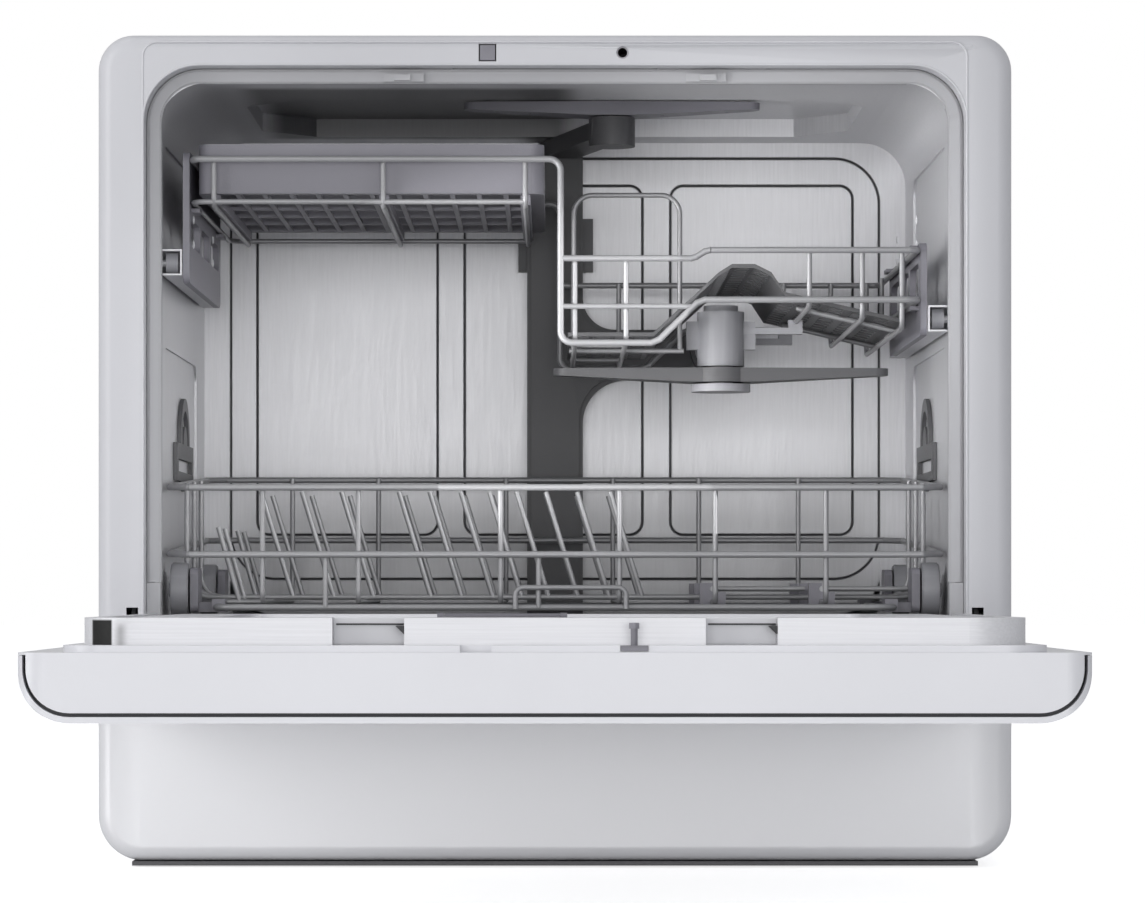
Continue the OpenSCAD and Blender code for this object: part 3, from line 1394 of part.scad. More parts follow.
module shelf_tray() {
    w = tray_x[1] - tray_x[0];
    l = tray_d[1] - tray_d[0];
    z0 = side_z - tine_r + weld + fit;
    z1 = shelf_floor - tray_wall;
    px = (w - 14) / 12;
    pd = (l - 14) / 5;
    color(grey) difference() {
        union() {
            translate(at(tray_x[0], tray_d[0], z1)) linear_extrude(shelf_top + 10 - z1) round_rect(w, l, 8);
            for (x = shelf_wires) block(x - 3, x + 3, tray_d[0] + 8, tray_d[1] - 8, z0, z1 + 0.5);
        }
        translate(at(tray_x[0] + tray_wall, tray_d[0] + tray_wall, shelf_floor)) linear_extrude(60)
            round_rect(w - 2 * tray_wall, l - 2 * tray_wall, 6);
        for (i = [0 : 11], k = [0 : 4])
            translate(at(tray_x[0] + 8.5 + i * px, tray_d[0] + 8.5 + k * pd, z1 - 1)) cube([px - 3, pd - 3, 8]);
    }
}

mesh_d = [42, 288];
mesh_profile = [[8, basket_floor + 5.2], [60, basket_floor + 5.2], [100, basket_mid + 18], [108, basket_mid + 23],
    [122, basket_mid + 23], [132, basket_mid + 18], [140, basket_mid + 5.9], [212, basket_mid - 10.6]];

// Perforated plastic floor of the basket
module basket_floor_mesh() {
    last = len(mesh_profile) - 1;
    color(dark) difference() {
        translate(at(0, mesh_d[1], 0)) rotate([90, 0, 0]) linear_extrude(mesh_d[1] - mesh_d[0])
            polygon(concat(mesh_profile, [for (i = [last : -1 : 0]) mesh_profile[i] + [0, 2.4]]));
        for (k = [0 : 12], x = [12, 24, 36, 48, 66, 78, 98, 110, 122, 140, 154, 168, 182, 196])
            block(x, x + 9, mesh_d[0] + 5 + k * 18.4, mesh_d[0] + 19 + k * 18.4, 300, 380);
        for (x = divider) block(x - 2.6, x + 2.6, 147, 153.6, 300, 380);
    }
}

bracket_in = upper_half + rail_r + fit;
bracket_out = rail_web - fit;

// Plastic plates that hook the rack onto its slide rails
module bracket(side, z0, z1, wires, window) {
    d0 = bracket_d[0];
    d1 = bracket_d[1];
    pitch = (d1 - d0 - 16) / 3;
    mirror([side < 0 ? 1 : 0, 0, 0]) difference() {
        union() {
            standing_side(bracket_in, bracket_out, d0, d1, z0, z1, 6);
            for (d = [d0 + 24, d1 - 24]) {
                block(upper_half - rail_r - 0.6, bracket_out, d - 9, d + 9, wires[1] + rail_r + fit,
                    wires[1] + rail_r + fit + 2.4);
                block(upper_half - rail_r - 0.6, bracket_out, d - 9, d + 9, wires[0] - rail_r - fit - 2.4,
                    wires[0] - rail_r - fit);
            }
        }
        for (i = [0 : 2])
            standing_side(bracket_in - 1, bracket_out + 1, d0 + 13 + i * pitch, d0 + 3 + (i + 1) * pitch,
                window[0], window[1], 5);
    }
}

bracket_d = [28, 252];

module rack_brackets() {
    color(grey) {
        bracket(-1, rail_left_z - 12, shelf_top + 5.4, [side_z, shelf_top], [rail_left_z + 11, side_z - 9]);
        bracket(1, rail_right_z - 10, basket_top + 8.4, [basket_mid + 2, basket_top + 3],
            [basket_mid + 7, basket_top - 3]);
    }
}

casing();
front_frame();
lower_front_panel();
base_tray();
feet();
rear_cover();
case_screws();
tub();
tub_base();
sump();
filter_plate();
filter_basket();
wash_pump();
drain_pump();
inlet_valve();
power_inlet();
control_box();
float();
door_gasket();
bottom_seal();
water_column();
side_ports();
lower_arm_hub();
lower_spray_arm();
top_spray_arm();
roller_front_left();
roller_rear_left();
roller_front_right();
roller_rear_right();
hinge_brackets();
door_springs();
latch_housing();
opener_rod();
door_outer_panel();
door_inner_shell();
door_core();
door_liner();
hinge_arms();
strike_pin();
dispenser_body();
dispenser_lid();
rinse_cap();
control_window();
door_grip();
lower_rack_frame();
folding_tines_left();
folding_tines_right();
tine_clips();
wheel_carriers();
wheel_front_left();
wheel_front_right();
wheel_rear_left();
wheel_rear_right();
upper_rack_frame();
shelf_tray();
basket_floor_mesh();
rack_brackets();
upper_rails();
feed_tube();
middle_spray_arm();
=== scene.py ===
"""Looks of a countertop dishwasher: finishes for every piece of the frame, fine parts, studio and camera."""
import math

import bpy
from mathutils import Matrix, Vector


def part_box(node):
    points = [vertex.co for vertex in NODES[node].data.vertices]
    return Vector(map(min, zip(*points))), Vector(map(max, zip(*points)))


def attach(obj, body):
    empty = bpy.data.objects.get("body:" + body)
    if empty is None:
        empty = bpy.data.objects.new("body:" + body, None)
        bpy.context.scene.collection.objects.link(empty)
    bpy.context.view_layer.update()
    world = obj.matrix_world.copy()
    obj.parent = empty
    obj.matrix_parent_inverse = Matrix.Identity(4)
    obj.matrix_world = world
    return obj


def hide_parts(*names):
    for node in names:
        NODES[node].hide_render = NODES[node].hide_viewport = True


bl_info = {
    "name": "Countertop Dishwasher",
    "version": (1, 0, 0),
    "blender": (4, 5, 0),
    "location": "View3D > Sidebar > Dishwasher",
    "description": "Finishes and fine parts of a countertop dishwasher, with its studio",
    "category": "Object",
}

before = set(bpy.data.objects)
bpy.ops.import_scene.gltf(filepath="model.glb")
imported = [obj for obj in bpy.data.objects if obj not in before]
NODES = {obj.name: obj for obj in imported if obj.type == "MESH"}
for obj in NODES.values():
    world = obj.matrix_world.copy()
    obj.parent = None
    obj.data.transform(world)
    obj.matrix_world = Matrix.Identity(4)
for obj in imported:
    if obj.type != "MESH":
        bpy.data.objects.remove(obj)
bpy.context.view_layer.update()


# --- Settings ---

class DishwasherColours(bpy.types.PropertyGroup):
    """The colours that the finishes are made from"""
    white: bpy.props.FloatVectorProperty(name="White", description="Painted casing, door and panels",
                                         subtype="COLOR", size=3, min=0, max=1, default=(0.72, 0.72, 0.75))
    steel: bpy.props.FloatVectorProperty(name="Stainless", description="Tub and door liner",
                                         subtype="COLOR", size=3, min=0, max=1, default=(0.66, 0.66, 0.68))
    zinc: bpy.props.FloatVectorProperty(name="Zinc", description="Galvanised sheet and hinges",
                                        subtype="COLOR", size=3, min=0, max=1, default=(0.42, 0.43, 0.44))
    wire: bpy.props.FloatVectorProperty(name="Rack wire", description="Coated wire of the racks",
                                        subtype="COLOR", size=3, min=0, max=1, default=(0.30, 0.30, 0.31))
    dark: bpy.props.FloatVectorProperty(name="Dark plastic", description="Water column, arms and tray",
                                        subtype="COLOR", size=3, min=0, max=1, default=(0.075, 0.075, 0.079))
    grey: bpy.props.FloatVectorProperty(name="Grey plastic", description="Shelf tray, brackets and dispenser",
                                        subtype="COLOR", size=3, min=0, max=1, default=(0.19, 0.185, 0.21))
    pale: bpy.props.FloatVectorProperty(name="Pale plastic", description="Wheels, rollers, float and valve",
                                        subtype="COLOR", size=3, min=0, max=1, default=(0.30, 0.30, 0.32))
    seal: bpy.props.FloatVectorProperty(name="Seal", description="Door gasket and bottom seal",
                                        subtype="COLOR", size=3, min=0, max=1, default=(0.46, 0.46, 0.475))


class DishwasherStudio(bpy.types.PropertyGroup):
    """The camera, the lights and the floor"""
    distance: bpy.props.FloatProperty(name="Camera distance", description="From the casing's front plane",
                                      default=2.4, min=1.0, max=6.0, unit="LENGTH")
    eye: bpy.props.FloatProperty(name="Eye height", description="Height of the camera above the worktop",
                                 default=0.1665, min=0.0, max=2.0, unit="LENGTH")
    lens: bpy.props.FloatProperty(name="Lens", description="Focal length in millimetres",
                                  default=125.1, min=20, max=300)
    key: bpy.props.FloatProperty(name="Key light", description="Watts of the large soft light above",
                                 default=7.0, min=0, max=500)
    fill: bpy.props.FloatProperty(name="Side lights", description="Watts of each side light",
                                  default=17.0, min=0, max=500)
    front: bpy.props.FloatProperty(name="Front light", description="Watts of the light beside the camera",
                                   default=17.0, min=0, max=500)
    floor_tone: bpy.props.FloatProperty(name="Floor tone", description="How white the floor looks to the camera",
                                        default=0.72, min=0, max=1)
    mirrored: bpy.props.FloatProperty(name="Mirrored room", description="How bright the room is in reflections",
                                      default=0.6, min=0, max=2)
    ambient: bpy.props.FloatProperty(name="Ambient", description="Strength of the room's own light",
                                     default=0.38, min=0, max=2)


# --- Shared shader groups ---

SKIN_RESULTS = [("Colour", "NodeSocketColor"), ("Roughness", "NodeSocketFloat"), ("Height", "NodeSocketFloat")]


def add_node(tree, kind, feeds=None, **options):
    """Add a shader node. Options are the node's own; feeds are values or outputs for its inputs."""
    node = tree.nodes.new(f"ShaderNode{kind}")
    for name, value in options.items():
        setattr(node, name, value)
    for socket, source in (feeds or {}).items():
        if isinstance(source, bpy.types.NodeSocket):
            tree.links.new(source, node.inputs[socket])
        else:
            node.inputs[socket].default_value = source
    return node


def number_from(tree, operation, *sources):
    """The result of a Math node."""
    return add_node(tree, "Math", dict(enumerate(sources)), operation=operation).outputs[0]


def vector_from(tree, operation, *sources):
    """The result of a Vector Math node."""
    node = add_node(tree, "VectorMath", dict(enumerate(sources)), operation=operation)
    return node.outputs["Value" if operation == "LENGTH" else "Vector"]


def object_place(tree):
    """Where a point is, in the object's own coordinates."""
    return add_node(tree, "TexCoord").outputs["Object"]


def noise(tree, at, scale, detail):
    """A noise pattern, as one value."""
    return add_node(tree, "TexNoise", {"Vector": at, "Scale": scale, "Detail": detail}).outputs["Fac"]


def toned(tree, colour, pattern, between, tones):
    """A colour whose tone goes from one to the other of two factors as a pattern goes between two values."""
    shade = add_node(tree, "MapRange", {"Value": pattern, "From Min": between[0], "From Max": between[1],
                                        "To Min": tones[0], "To Max": tones[1]}).outputs["Result"]
    return add_node(tree, "VectorMath", {0: colour, "Scale": shade}, operation="SCALE").outputs["Vector"]


def new_group(name, inputs, outputs):
    """A shader group with named inputs and outputs: its tree, and the nodes that hold them."""
    group = bpy.data.node_groups.new(name, "ShaderNodeTree")
    for label, kind, value in inputs:
        socket = group.interface.new_socket(name=label, in_out="INPUT", socket_type=kind)
        if value is not None:
            socket.default_value = value
    for label, kind in outputs:
        group.interface.new_socket(name=label, in_out="OUTPUT", socket_type=kind)
    return group, group.nodes.new("NodeGroupInput"), group.nodes.new("NodeGroupOutput")


def put_out(tree, out, **results):
    """Join results to a group's outputs of the same names."""
    for label, source in results.items():
        tree.links.new(source, out.inputs[label.capitalize()])


def brushed_group():
    """Fine straight scratches in a rolled sheet: a colour, a roughness and a height that change across the grain."""
    tree, given, out = new_group(
        "brushed_sheet",
        [("Colour", "NodeSocketColor", (0.6, 0.6, 0.62, 1)), ("Grain", "NodeSocketVector", None),
         ("Depth", "NodeSocketFloat", 0.1), ("Roughness", "NodeSocketFloat", 0.35)], SKIN_RESULTS)
    at = object_place(tree)
    stretched = add_node(tree, "Mapping", {"Vector": at, "Scale": given.outputs["Grain"]}).outputs["Vector"]
    fine = noise(tree, stretched, scale=1.0, detail=3)
    broad = noise(tree, at, scale=5.0, detail=1)
    broad_share, roughness_share = 0.35, 0.16
    pattern = number_from(tree, "MULTIPLY_ADD", broad, broad_share, fine)
    put_out(tree, out,
            colour=toned(tree, given.outputs["Colour"], pattern, between=(0.3, 1.0), tones=(0.9, 1.06)),
            roughness=number_from(tree, "MULTIPLY_ADD", fine, roughness_share, given.outputs["Roughness"]),
            height=number_from(tree, "MULTIPLY", fine, given.outputs["Depth"]))


def moulded_group():
    """Moulded or sprayed skin: a faint grain, slow changes of tone and paler, rubbed edges."""
    tree, given, out = new_group(
        "moulded_skin",
        [("Colour", "NodeSocketColor", (0.5, 0.5, 0.5, 1)), ("Grain size", "NodeSocketFloat", 900.0),
         ("Grain depth", "NodeSocketFloat", 0.1), ("Roughness", "NodeSocketFloat", 0.45),
         ("Edge wear", "NodeSocketFloat", 0.2)], SKIN_RESULTS)
    at = object_place(tree)
    grain = noise(tree, at, scale=given.outputs["Grain size"], detail=2)
    slow = noise(tree, at, scale=7.0, detail=3)
    tinted = toned(tree, given.outputs["Colour"], slow, between=(0.3, 0.7), tones=(0.965, 1.035))
    sharp = add_node(tree, "NewGeometry").outputs["Pointiness"]
    edge = add_node(tree, "MapRange", {"Value": sharp, "From Min": 0.52, "From Max": 0.62}).outputs["Result"]
    worn = number_from(tree, "MULTIPLY", edge, given.outputs["Edge wear"])
    rubbed = add_node(tree, "Mix", {"Factor": worn, "A": tinted, "B": given.outputs["Colour"]},
                      data_type="RGBA", blend_type="SCREEN").outputs["Result"]
    roughness_share = 0.1
    put_out(tree, out,
            colour=rubbed,
            roughness=number_from(tree, "MULTIPLY_ADD", slow, roughness_share, given.outputs["Roughness"]),
            height=number_from(tree, "MULTIPLY", grain, given.outputs["Grain depth"]))


def rounded_frame_group():
    """A thin line round a rectangle with round corners, drawn in X and Z: 1 on the line and 0 beside it."""
    tree, given, out = new_group(
        "rounded_frame",
        [("Centre", "NodeSocketVector", (0, 0, 0)), ("Half size", "NodeSocketVector", (0.1, 0, 0.1)),
         ("Corner", "NodeSocketFloat", 0.01), ("Line width", "NodeSocketFloat", 0.0008)],
        [("Line", "NodeSocketFloat")])
    flat = (1, 0, 1)
    radius = given.outputs["Corner"]
    corner = add_node(tree, "CombineXYZ", {"X": radius, "Z": radius}).outputs["Vector"]
    away = vector_from(tree, "SUBTRACT", object_place(tree), given.outputs["Centre"])
    away = vector_from(tree, "ABSOLUTE", vector_from(tree, "MULTIPLY", away, flat))
    away = vector_from(tree, "SUBTRACT", away, vector_from(tree, "SUBTRACT", given.outputs["Half size"], corner))
    away = vector_from(tree, "MULTIPLY", away, flat)
    outside = vector_from(tree, "LENGTH", vector_from(tree, "MAXIMUM", away, (0, 0, 0)))
    parts = add_node(tree, "SeparateXYZ", {0: away}).outputs
    inside = number_from(tree, "MINIMUM", number_from(tree, "MAXIMUM", parts["X"], parts["Z"]), 0)
    distance = number_from(tree, "SUBTRACT", number_from(tree, "ADD", outside, inside), radius)
    line = add_node(tree, "MapRange", {"Value": number_from(tree, "ABSOLUTE", distance), "From Min": 0,
                                       "From Max": given.outputs["Line width"], "To Min": 1, "To Max": 0},
                    interpolation_type="SMOOTHSTEP")
    put_out(tree, out, line=line.outputs["Result"])


def soft_zone_group():
    """1 inside a box given in the object's own coordinates, falling softly to 0 at its faces."""
    tree, given, out = new_group(
        "soft_zone",
        [("Low", "NodeSocketVector", None), ("High", "NodeSocketVector", None),
         ("Softness", "NodeSocketFloat", 0.01)], [("Zone", "NodeSocketFloat")])
    at = object_place(tree)
    zone = None
    for inwards in (vector_from(tree, "SUBTRACT", at, given.outputs["Low"]),
                    vector_from(tree, "SUBTRACT", given.outputs["High"], at)):
        parts = add_node(tree, "SeparateXYZ", {0: inwards}).outputs
        for axis in "XYZ":
            fade = add_node(tree, "MapRange", {"Value": parts[axis], "From Min": 0,
                                               "From Max": given.outputs["Softness"]},
                            interpolation_type="SMOOTHSTEP").outputs["Result"]
            zone = fade if zone is None else number_from(tree, "MULTIPLY", zone, fade)
    put_out(tree, out, zone=zone)


# --- Materials ---

# Outlines pressed into the tub's back wall: middle x and z, half width, half height and corner radius, in metres.
PANELS = [(0, 0.318, 0.222, 0.144, 0.031),
          (-0.1422, 0.3239, 0.0618, 0.1196, 0.009),
          (-0.001, 0.3239, 0.0609, 0.1196, 0.009),
          (0.1415, 0.3239, 0.0625, 0.1196, 0.009)]
PANEL_LINE_WIDTH = 0.0011
PANEL_DENT = 0.0008
# The painted shade along the pressed grooves, darker than the steel.
GROOVE_SHADE_TONE = (0.05, 0.05, 0.055)
# How far in front of the tub's rear face the grooves still show, in metres.
BACK_WALL = 0.008

SPRING_STEEL = (0.5, 0.5, 0.52)
DAMPING_BLACK = (0.05, 0.05, 0.053)
SMOKED_BLACK = (0.012, 0.012, 0.014)


def blank_material(name, diffuse):
    """A new material with nodes, and its shader."""
    material = bpy.data.materials.new(name)
    material.use_nodes = True
    material.diffuse_color = (*diffuse, 1)
    return material, material.node_tree.nodes["Principled BSDF"]


def skin_material(name, colour, rough, group="moulded_skin", metallic=0.0, bump=0.0002, coat=0.0, **values):
    """A material whose colour, roughness and relief come from one of the shared groups."""
    material, shader = blank_material(name, colour)
    tree = material.node_tree
    feeds = {label.replace("_", " ").capitalize(): value for label, value in values.items()}
    skin = add_node(tree, "Group", {"Colour": (*colour, 1), "Roughness": rough, **feeds},
                    node_tree=bpy.data.node_groups[group])
    relief = add_node(tree, "Bump", {"Distance": bump, "Strength": 1.0, "Height": skin.outputs["Height"]})
    tree.links.new(skin.outputs["Colour"], shader.inputs["Base Color"])
    tree.links.new(skin.outputs["Roughness"], shader.inputs["Roughness"])
    tree.links.new(relief.outputs["Normal"], shader.inputs["Normal"])
    shader.inputs["Metallic"].default_value = metallic
    shader.inputs["Coat Weight"].default_value = coat
    shader.inputs["Coat Roughness"].default_value = 0.12
    return material


def mix_in(material, amount, tone):
    """Mix a tone into a material's base colour by an amount that changes over the surface."""
    tree = material.node_tree
    colour = tree.nodes["Principled BSDF"].inputs["Base Color"]
    mix = add_node(tree, "Mix", data_type="RGBA",
                   feeds={"Factor": amount, "A": colour.links[0].from_socket, "B": (*tone, 1)})
    tree.links.new(mix.outputs["Result"], colour)


def shade_zone(material, low, high, softness, tone, strength):
    """Paint shade into the base colour: draw it towards a tone inside a soft-edged box."""
    tree = material.node_tree
    zone = add_node(tree, "Group", {"Low": low, "High": high, "Softness": softness},
                    node_tree=bpy.data.node_groups["soft_zone"])
    amount = number_from(tree, "MULTIPLY", zone.outputs["Zone"], strength)
    mix_in(material, amount, (tone, tone, tone * 1.02))


def press_panels(material):
    """Grooves pressed into the tub's back wall, as lines of a darker tone, painted shade in the grooves, that also
    dent the surface.
    """
    tree = material.node_tree
    lines = None
    for x, z, half_x, half_z, corner in PANELS:
        panel = add_node(tree, "Group", {"Centre": (x, 0, z), "Half size": (half_x, 0, half_z), "Corner": corner,
                                         "Line width": PANEL_LINE_WIDTH},
                         node_tree=bpy.data.node_groups["rounded_frame"])
        line = panel.outputs["Line"]
        lines = line if lines is None else number_from(tree, "MAXIMUM", lines, line)
    depth = add_node(tree, "SeparateXYZ", {0: object_place(tree)}).outputs["Y"]
    on_back = number_from(tree, "GREATER_THAN", depth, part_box("tub")[1].y - BACK_WALL)
    grooves = number_from(tree, "MULTIPLY", lines, on_back)
    mix_in(material, grooves, GROOVE_SHADE_TONE)
    normal = tree.nodes["Principled BSDF"].inputs["Normal"]
    dent = add_node(tree, "Bump", invert=True,
                    feeds={"Distance": PANEL_DENT, "Height": grooves, "Normal": normal.links[0].from_socket})
    tree.links.new(dent.outputs["Normal"], normal)


def finish_nodes(names, material):
    """Give some of the frame's own pieces a finish."""
    for name in names:
        node = NODES[name]
        node.data.materials.clear()
        node.data.materials.append(material)


# --- Ways of making pieces ---

MM = 0.001
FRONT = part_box("front_frame")[0].y
# The tub's mouth, in metres: half its width, the height of its top and the radius of its corners.
MOUTH_HALF, MOUTH_TOP, MOUTH_CORNER = 0.2465, 0.481, 0.033
# The height above the frame's lower edge, in mm, at which a path along the mouth starts and ends.
MOUTH_FOOT = 3
# Steps round a corner of the mouth, a bar's bevel resolution and segments across a block's rounded edge.
CORNER_STEPS = 10
BAR_ROUNDNESS = 3
EDGE_SEGMENTS = 3
# Edges sharper than these stay sharp when a piece is shaded smooth.
PANEL_EDGE, TURNED_EDGE, BLOCK_EDGE = math.radians(28), math.radians(32), math.radians(40)


def place(x, d, z):
    """A point given in millimetres: x to the right, d behind the front plane, z up."""
    return Vector((x * MM, FRONT + d * MM, z * MM))


def clear_selection():
    """Deselect everything."""
    bpy.ops.object.select_all(action="DESELECT")


def settle(piece, name, material, body):
    """Give a finished piece its name, its finish and the body it rides on."""
    piece.name = name
    piece.data.name = name
    bpy.context.view_layer.objects.active = piece
    piece.select_set(True)
    bpy.ops.object.transform_apply(location=True, rotation=True, scale=True)
    piece.data.materials.clear()
    piece.data.materials.append(bpy.data.materials[material])
    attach(piece, body)
    clear_selection()
    return piece


def reshaped(node, name, material, body, cuts, move):
    """A copy of a frame piece, cut by some planes, whose points are then moved; it stands for the piece."""
    clear_selection()
    piece = bpy.data.objects.new(name, NODES[node].data.copy())
    bpy.context.collection.objects.link(piece)
    bpy.context.view_layer.objects.active = piece
    piece.select_set(True)
    bpy.ops.object.mode_set(mode="EDIT")
    bpy.ops.mesh.select_all(action="SELECT")
    bpy.ops.mesh.remove_doubles(threshold=1e-6)
    for at, way in cuts:
        bpy.ops.mesh.select_all(action="SELECT")
        bpy.ops.mesh.bisect(plane_co=at, plane_no=way)
    bpy.ops.object.mode_set(mode="OBJECT")
    for v in piece.data.vertices:
        v.co = move(v.co)
    bpy.ops.object.shade_smooth_by_angle(angle=PANEL_EDGE)
    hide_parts(node)
    return settle(piece, name, material, body)


def bent_tube(name, points, radius, material, body, closed=False):
    """A round bar bent along points, made a mesh."""
    clear_selection()
    bpy.ops.curve.primitive_nurbs_path_add()
    bar = bpy.context.object
    bar.data.splines.clear()
    spline = bar.data.splines.new("POLY")
    spline.points.add(len(points) - 1)
    for at, point in zip(points, spline.points):
        point.co = (*at, 1)
    spline.use_cyclic_u = closed
    bar.data.bevel_depth = radius * MM
    bar.data.bevel_resolution = BAR_ROUNDNESS
    bar.data.use_fill_caps = True
    bpy.ops.object.convert(target="MESH")
    bpy.ops.object.shade_smooth()
    return settle(bpy.context.object, name, material, body)


def turned(name, start, direction, profile, material, body, sides):
    """A turned piece: a disc drawn out along direction through the (radius, distance) steps of profile, in mm."""
    clear_selection()
    way = Vector(direction).normalized()
    turn = way.to_track_quat("Z", "Y").to_euler()
    bpy.ops.mesh.primitive_circle_add(vertices=sides, radius=profile[0][0] * MM, fill_type="NGON",
                                      location=start + way * profile[0][1] * MM, rotation=turn)
    piece = bpy.context.object
    bpy.ops.object.mode_set(mode="EDIT")
    bpy.ops.mesh.select_all(action="SELECT")
    for (r0, h0), (r1, h1) in zip(profile, profile[1:]):
        bpy.ops.mesh.extrude_region_move(TRANSFORM_OT_translate={"value": way * (h1 - h0) * MM})
        bpy.ops.transform.resize(value=(r1 / r0,) * 3, center_override=start + way * h1 * MM)
    bpy.ops.mesh.select_all(action="SELECT")
    bpy.ops.mesh.normals_make_consistent(inside=False)
    bpy.ops.object.mode_set(mode="OBJECT")
    bpy.ops.object.shade_smooth_by_angle(angle=TURNED_EDGE)
    return settle(piece, name, material, body)


def soft_block(name, low, high, round_off, material, body, slot):
    """A block between two corners with rounded edges."""
    clear_selection()
    bpy.ops.mesh.primitive_cube_add(size=1, location=(low + high) / 2)
    piece = bpy.context.object
    piece.scale = high - low
    bpy.ops.object.transform_apply(location=False, rotation=False, scale=True)
    bpy.ops.object.mode_set(mode="EDIT")
    bpy.ops.mesh.select_all(action="SELECT")
    bpy.ops.mesh.bevel(offset=round_off * MM, segments=EDGE_SEGMENTS, affect="EDGES")
    bpy.ops.object.mode_set(mode="OBJECT")
    bpy.ops.object.shade_smooth_by_angle(angle=BLOCK_EDGE)
    return settle(piece, name, material, body)


def joined(pieces, name):
    """Several pieces made one, in which each keeps its own finish."""
    clear_selection()
    for piece in pieces:
        piece.select_set(True)
    bpy.context.view_layer.objects.active = pieces[0]
    bpy.ops.object.join()
    pieces[0].name = name
    pieces[0].data.name = name
    clear_selection()
    return pieces[0]


def mouth_path(inset, d):
    """Up the left side of the mouth, round its top and down the right side, some mm inside its edge."""
    half = MOUTH_HALF / MM - inset
    top = MOUTH_TOP / MM - inset
    r = MOUTH_CORNER / MM - inset
    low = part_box("front_frame")[0].z / MM + MOUTH_FOOT
    points = [place(-half, d, low)]
    for side, first in ((-1, 180), (1, 90)):
        for k in range(CORNER_STEPS + 1):
            a = math.radians(first - 90 * k / CORNER_STEPS)
            points.append(place(side * (half - r) + r * math.cos(a), d, top - r + r * math.sin(a)))
    points.append(place(half, d, low))
    return points


# --- Finishes of the frame's own pieces ---

class DISHWASHER_OT_groups(bpy.types.Operator):
    """Build the shader groups that the finishes share"""
    bl_idname = "dishwasher.groups"
    bl_label = "Shared finishes"

    def execute(self, context):
        brushed_group()
        moulded_group()
        rounded_frame_group()
        soft_zone_group()
        return {"FINISHED"}


class DISHWASHER_OT_painted(bpy.types.Operator):
    """Paint the casing, frame, door panels and lower panel"""
    bl_idname = "dishwasher.painted"
    bl_label = "Painted panels"

    def execute(self, context):
        c = context.scene.dishwasher_colours
        paint = skin_material("white_paint", tuple(c.white), 0.30, grain_size=700.0, grain_depth=0.25,
                              edge_wear=0.05, bump=0.00012, coat=0.15)
        finish_nodes(["casing", "lower_front_panel", "door_outer_panel", "door_inner_shell"], paint)
        darker = 0.86
        frame_paint = skin_material("frame_paint", tuple(darker * v for v in c.white), 0.38, grain_size=700.0,
                                    grain_depth=0.25, edge_wear=0.05, bump=0.00012, coat=0.08)
        finish_nodes(["front_frame"], frame_paint)
        return {"FINISHED"}


class DISHWASHER_OT_steel(bpy.types.Operator):
    """Brush the tub, liner, filter, rails and sheet-metal parts"""
    bl_idname = "dishwasher.steel"
    bl_label = "Steel parts"

    def execute(self, context):
        c = context.scene.dishwasher_colours
        tub = skin_material("brushed_tub", tuple(c.steel), 0.34, "brushed_sheet", 0.5, 0.00001,
                            grain=(700.0, 700.0, 40.0), depth=0.08)
        press_panels(tub)
        # Painted shade: darker zones on the ceiling left of the middle, a painted dark reflection, and at the foot
        # of the back wall, a painted shadow.
        shade_zone(tub, (-0.20, -0.17, 0.455), (0.02, 0.12, 0.52), softness=0.02, tone=0.03, strength=0.8)
        shade_zone(tub, (-0.24, 0.05, 0.10), (0.24, 0.20, 0.26), softness=0.05, tone=0.1, strength=0.4)
        finish_nodes(["tub"], tub)
        lighter = 1.1
        liner = skin_material("brushed_liner", tuple(lighter * v for v in c.steel), 0.44, "brushed_sheet", 0.3,
                              0.00002, grain=(16.0, 900.0, 900.0), depth=0.2)
        finish_nodes(["upper_rails", "filter_plate"], liner)
        end = liner.copy()
        end.name = "liner_sheet"
        # Painted reflection: what the liner's left end mirrors, drawn as a black patch, with a soft painted shade
        # beside it.
        shade_zone(end, (-0.2398, -0.60, 0.10), (-0.2275, -0.50, 0.1517), softness=0.0012, tone=0.0, strength=1.0)
        shade_zone(end, (-0.2285, -0.60, 0.10), (-0.2185, -0.50, 0.1517), softness=0.006, tone=0.2, strength=0.7)
        finish_nodes(["door_liner"], end)
        zinc = skin_material("zinc_sheet", tuple(c.zinc), 0.42, "brushed_sheet", 0.9, 0.0001,
                             grain=(60.0, 60.0, 60.0), depth=0.4)
        finish_nodes(["rear_cover", "case_screws", "hinge_brackets", "hinge_arms"], zinc)
        spring = skin_material("spring_wire", SPRING_STEEL, 0.22, "brushed_sheet", 1.0, 0.00005,
                               grain=(300.0, 300.0, 300.0), depth=0.3)
        finish_nodes(["door_springs"], spring)
        return {"FINISHED"}


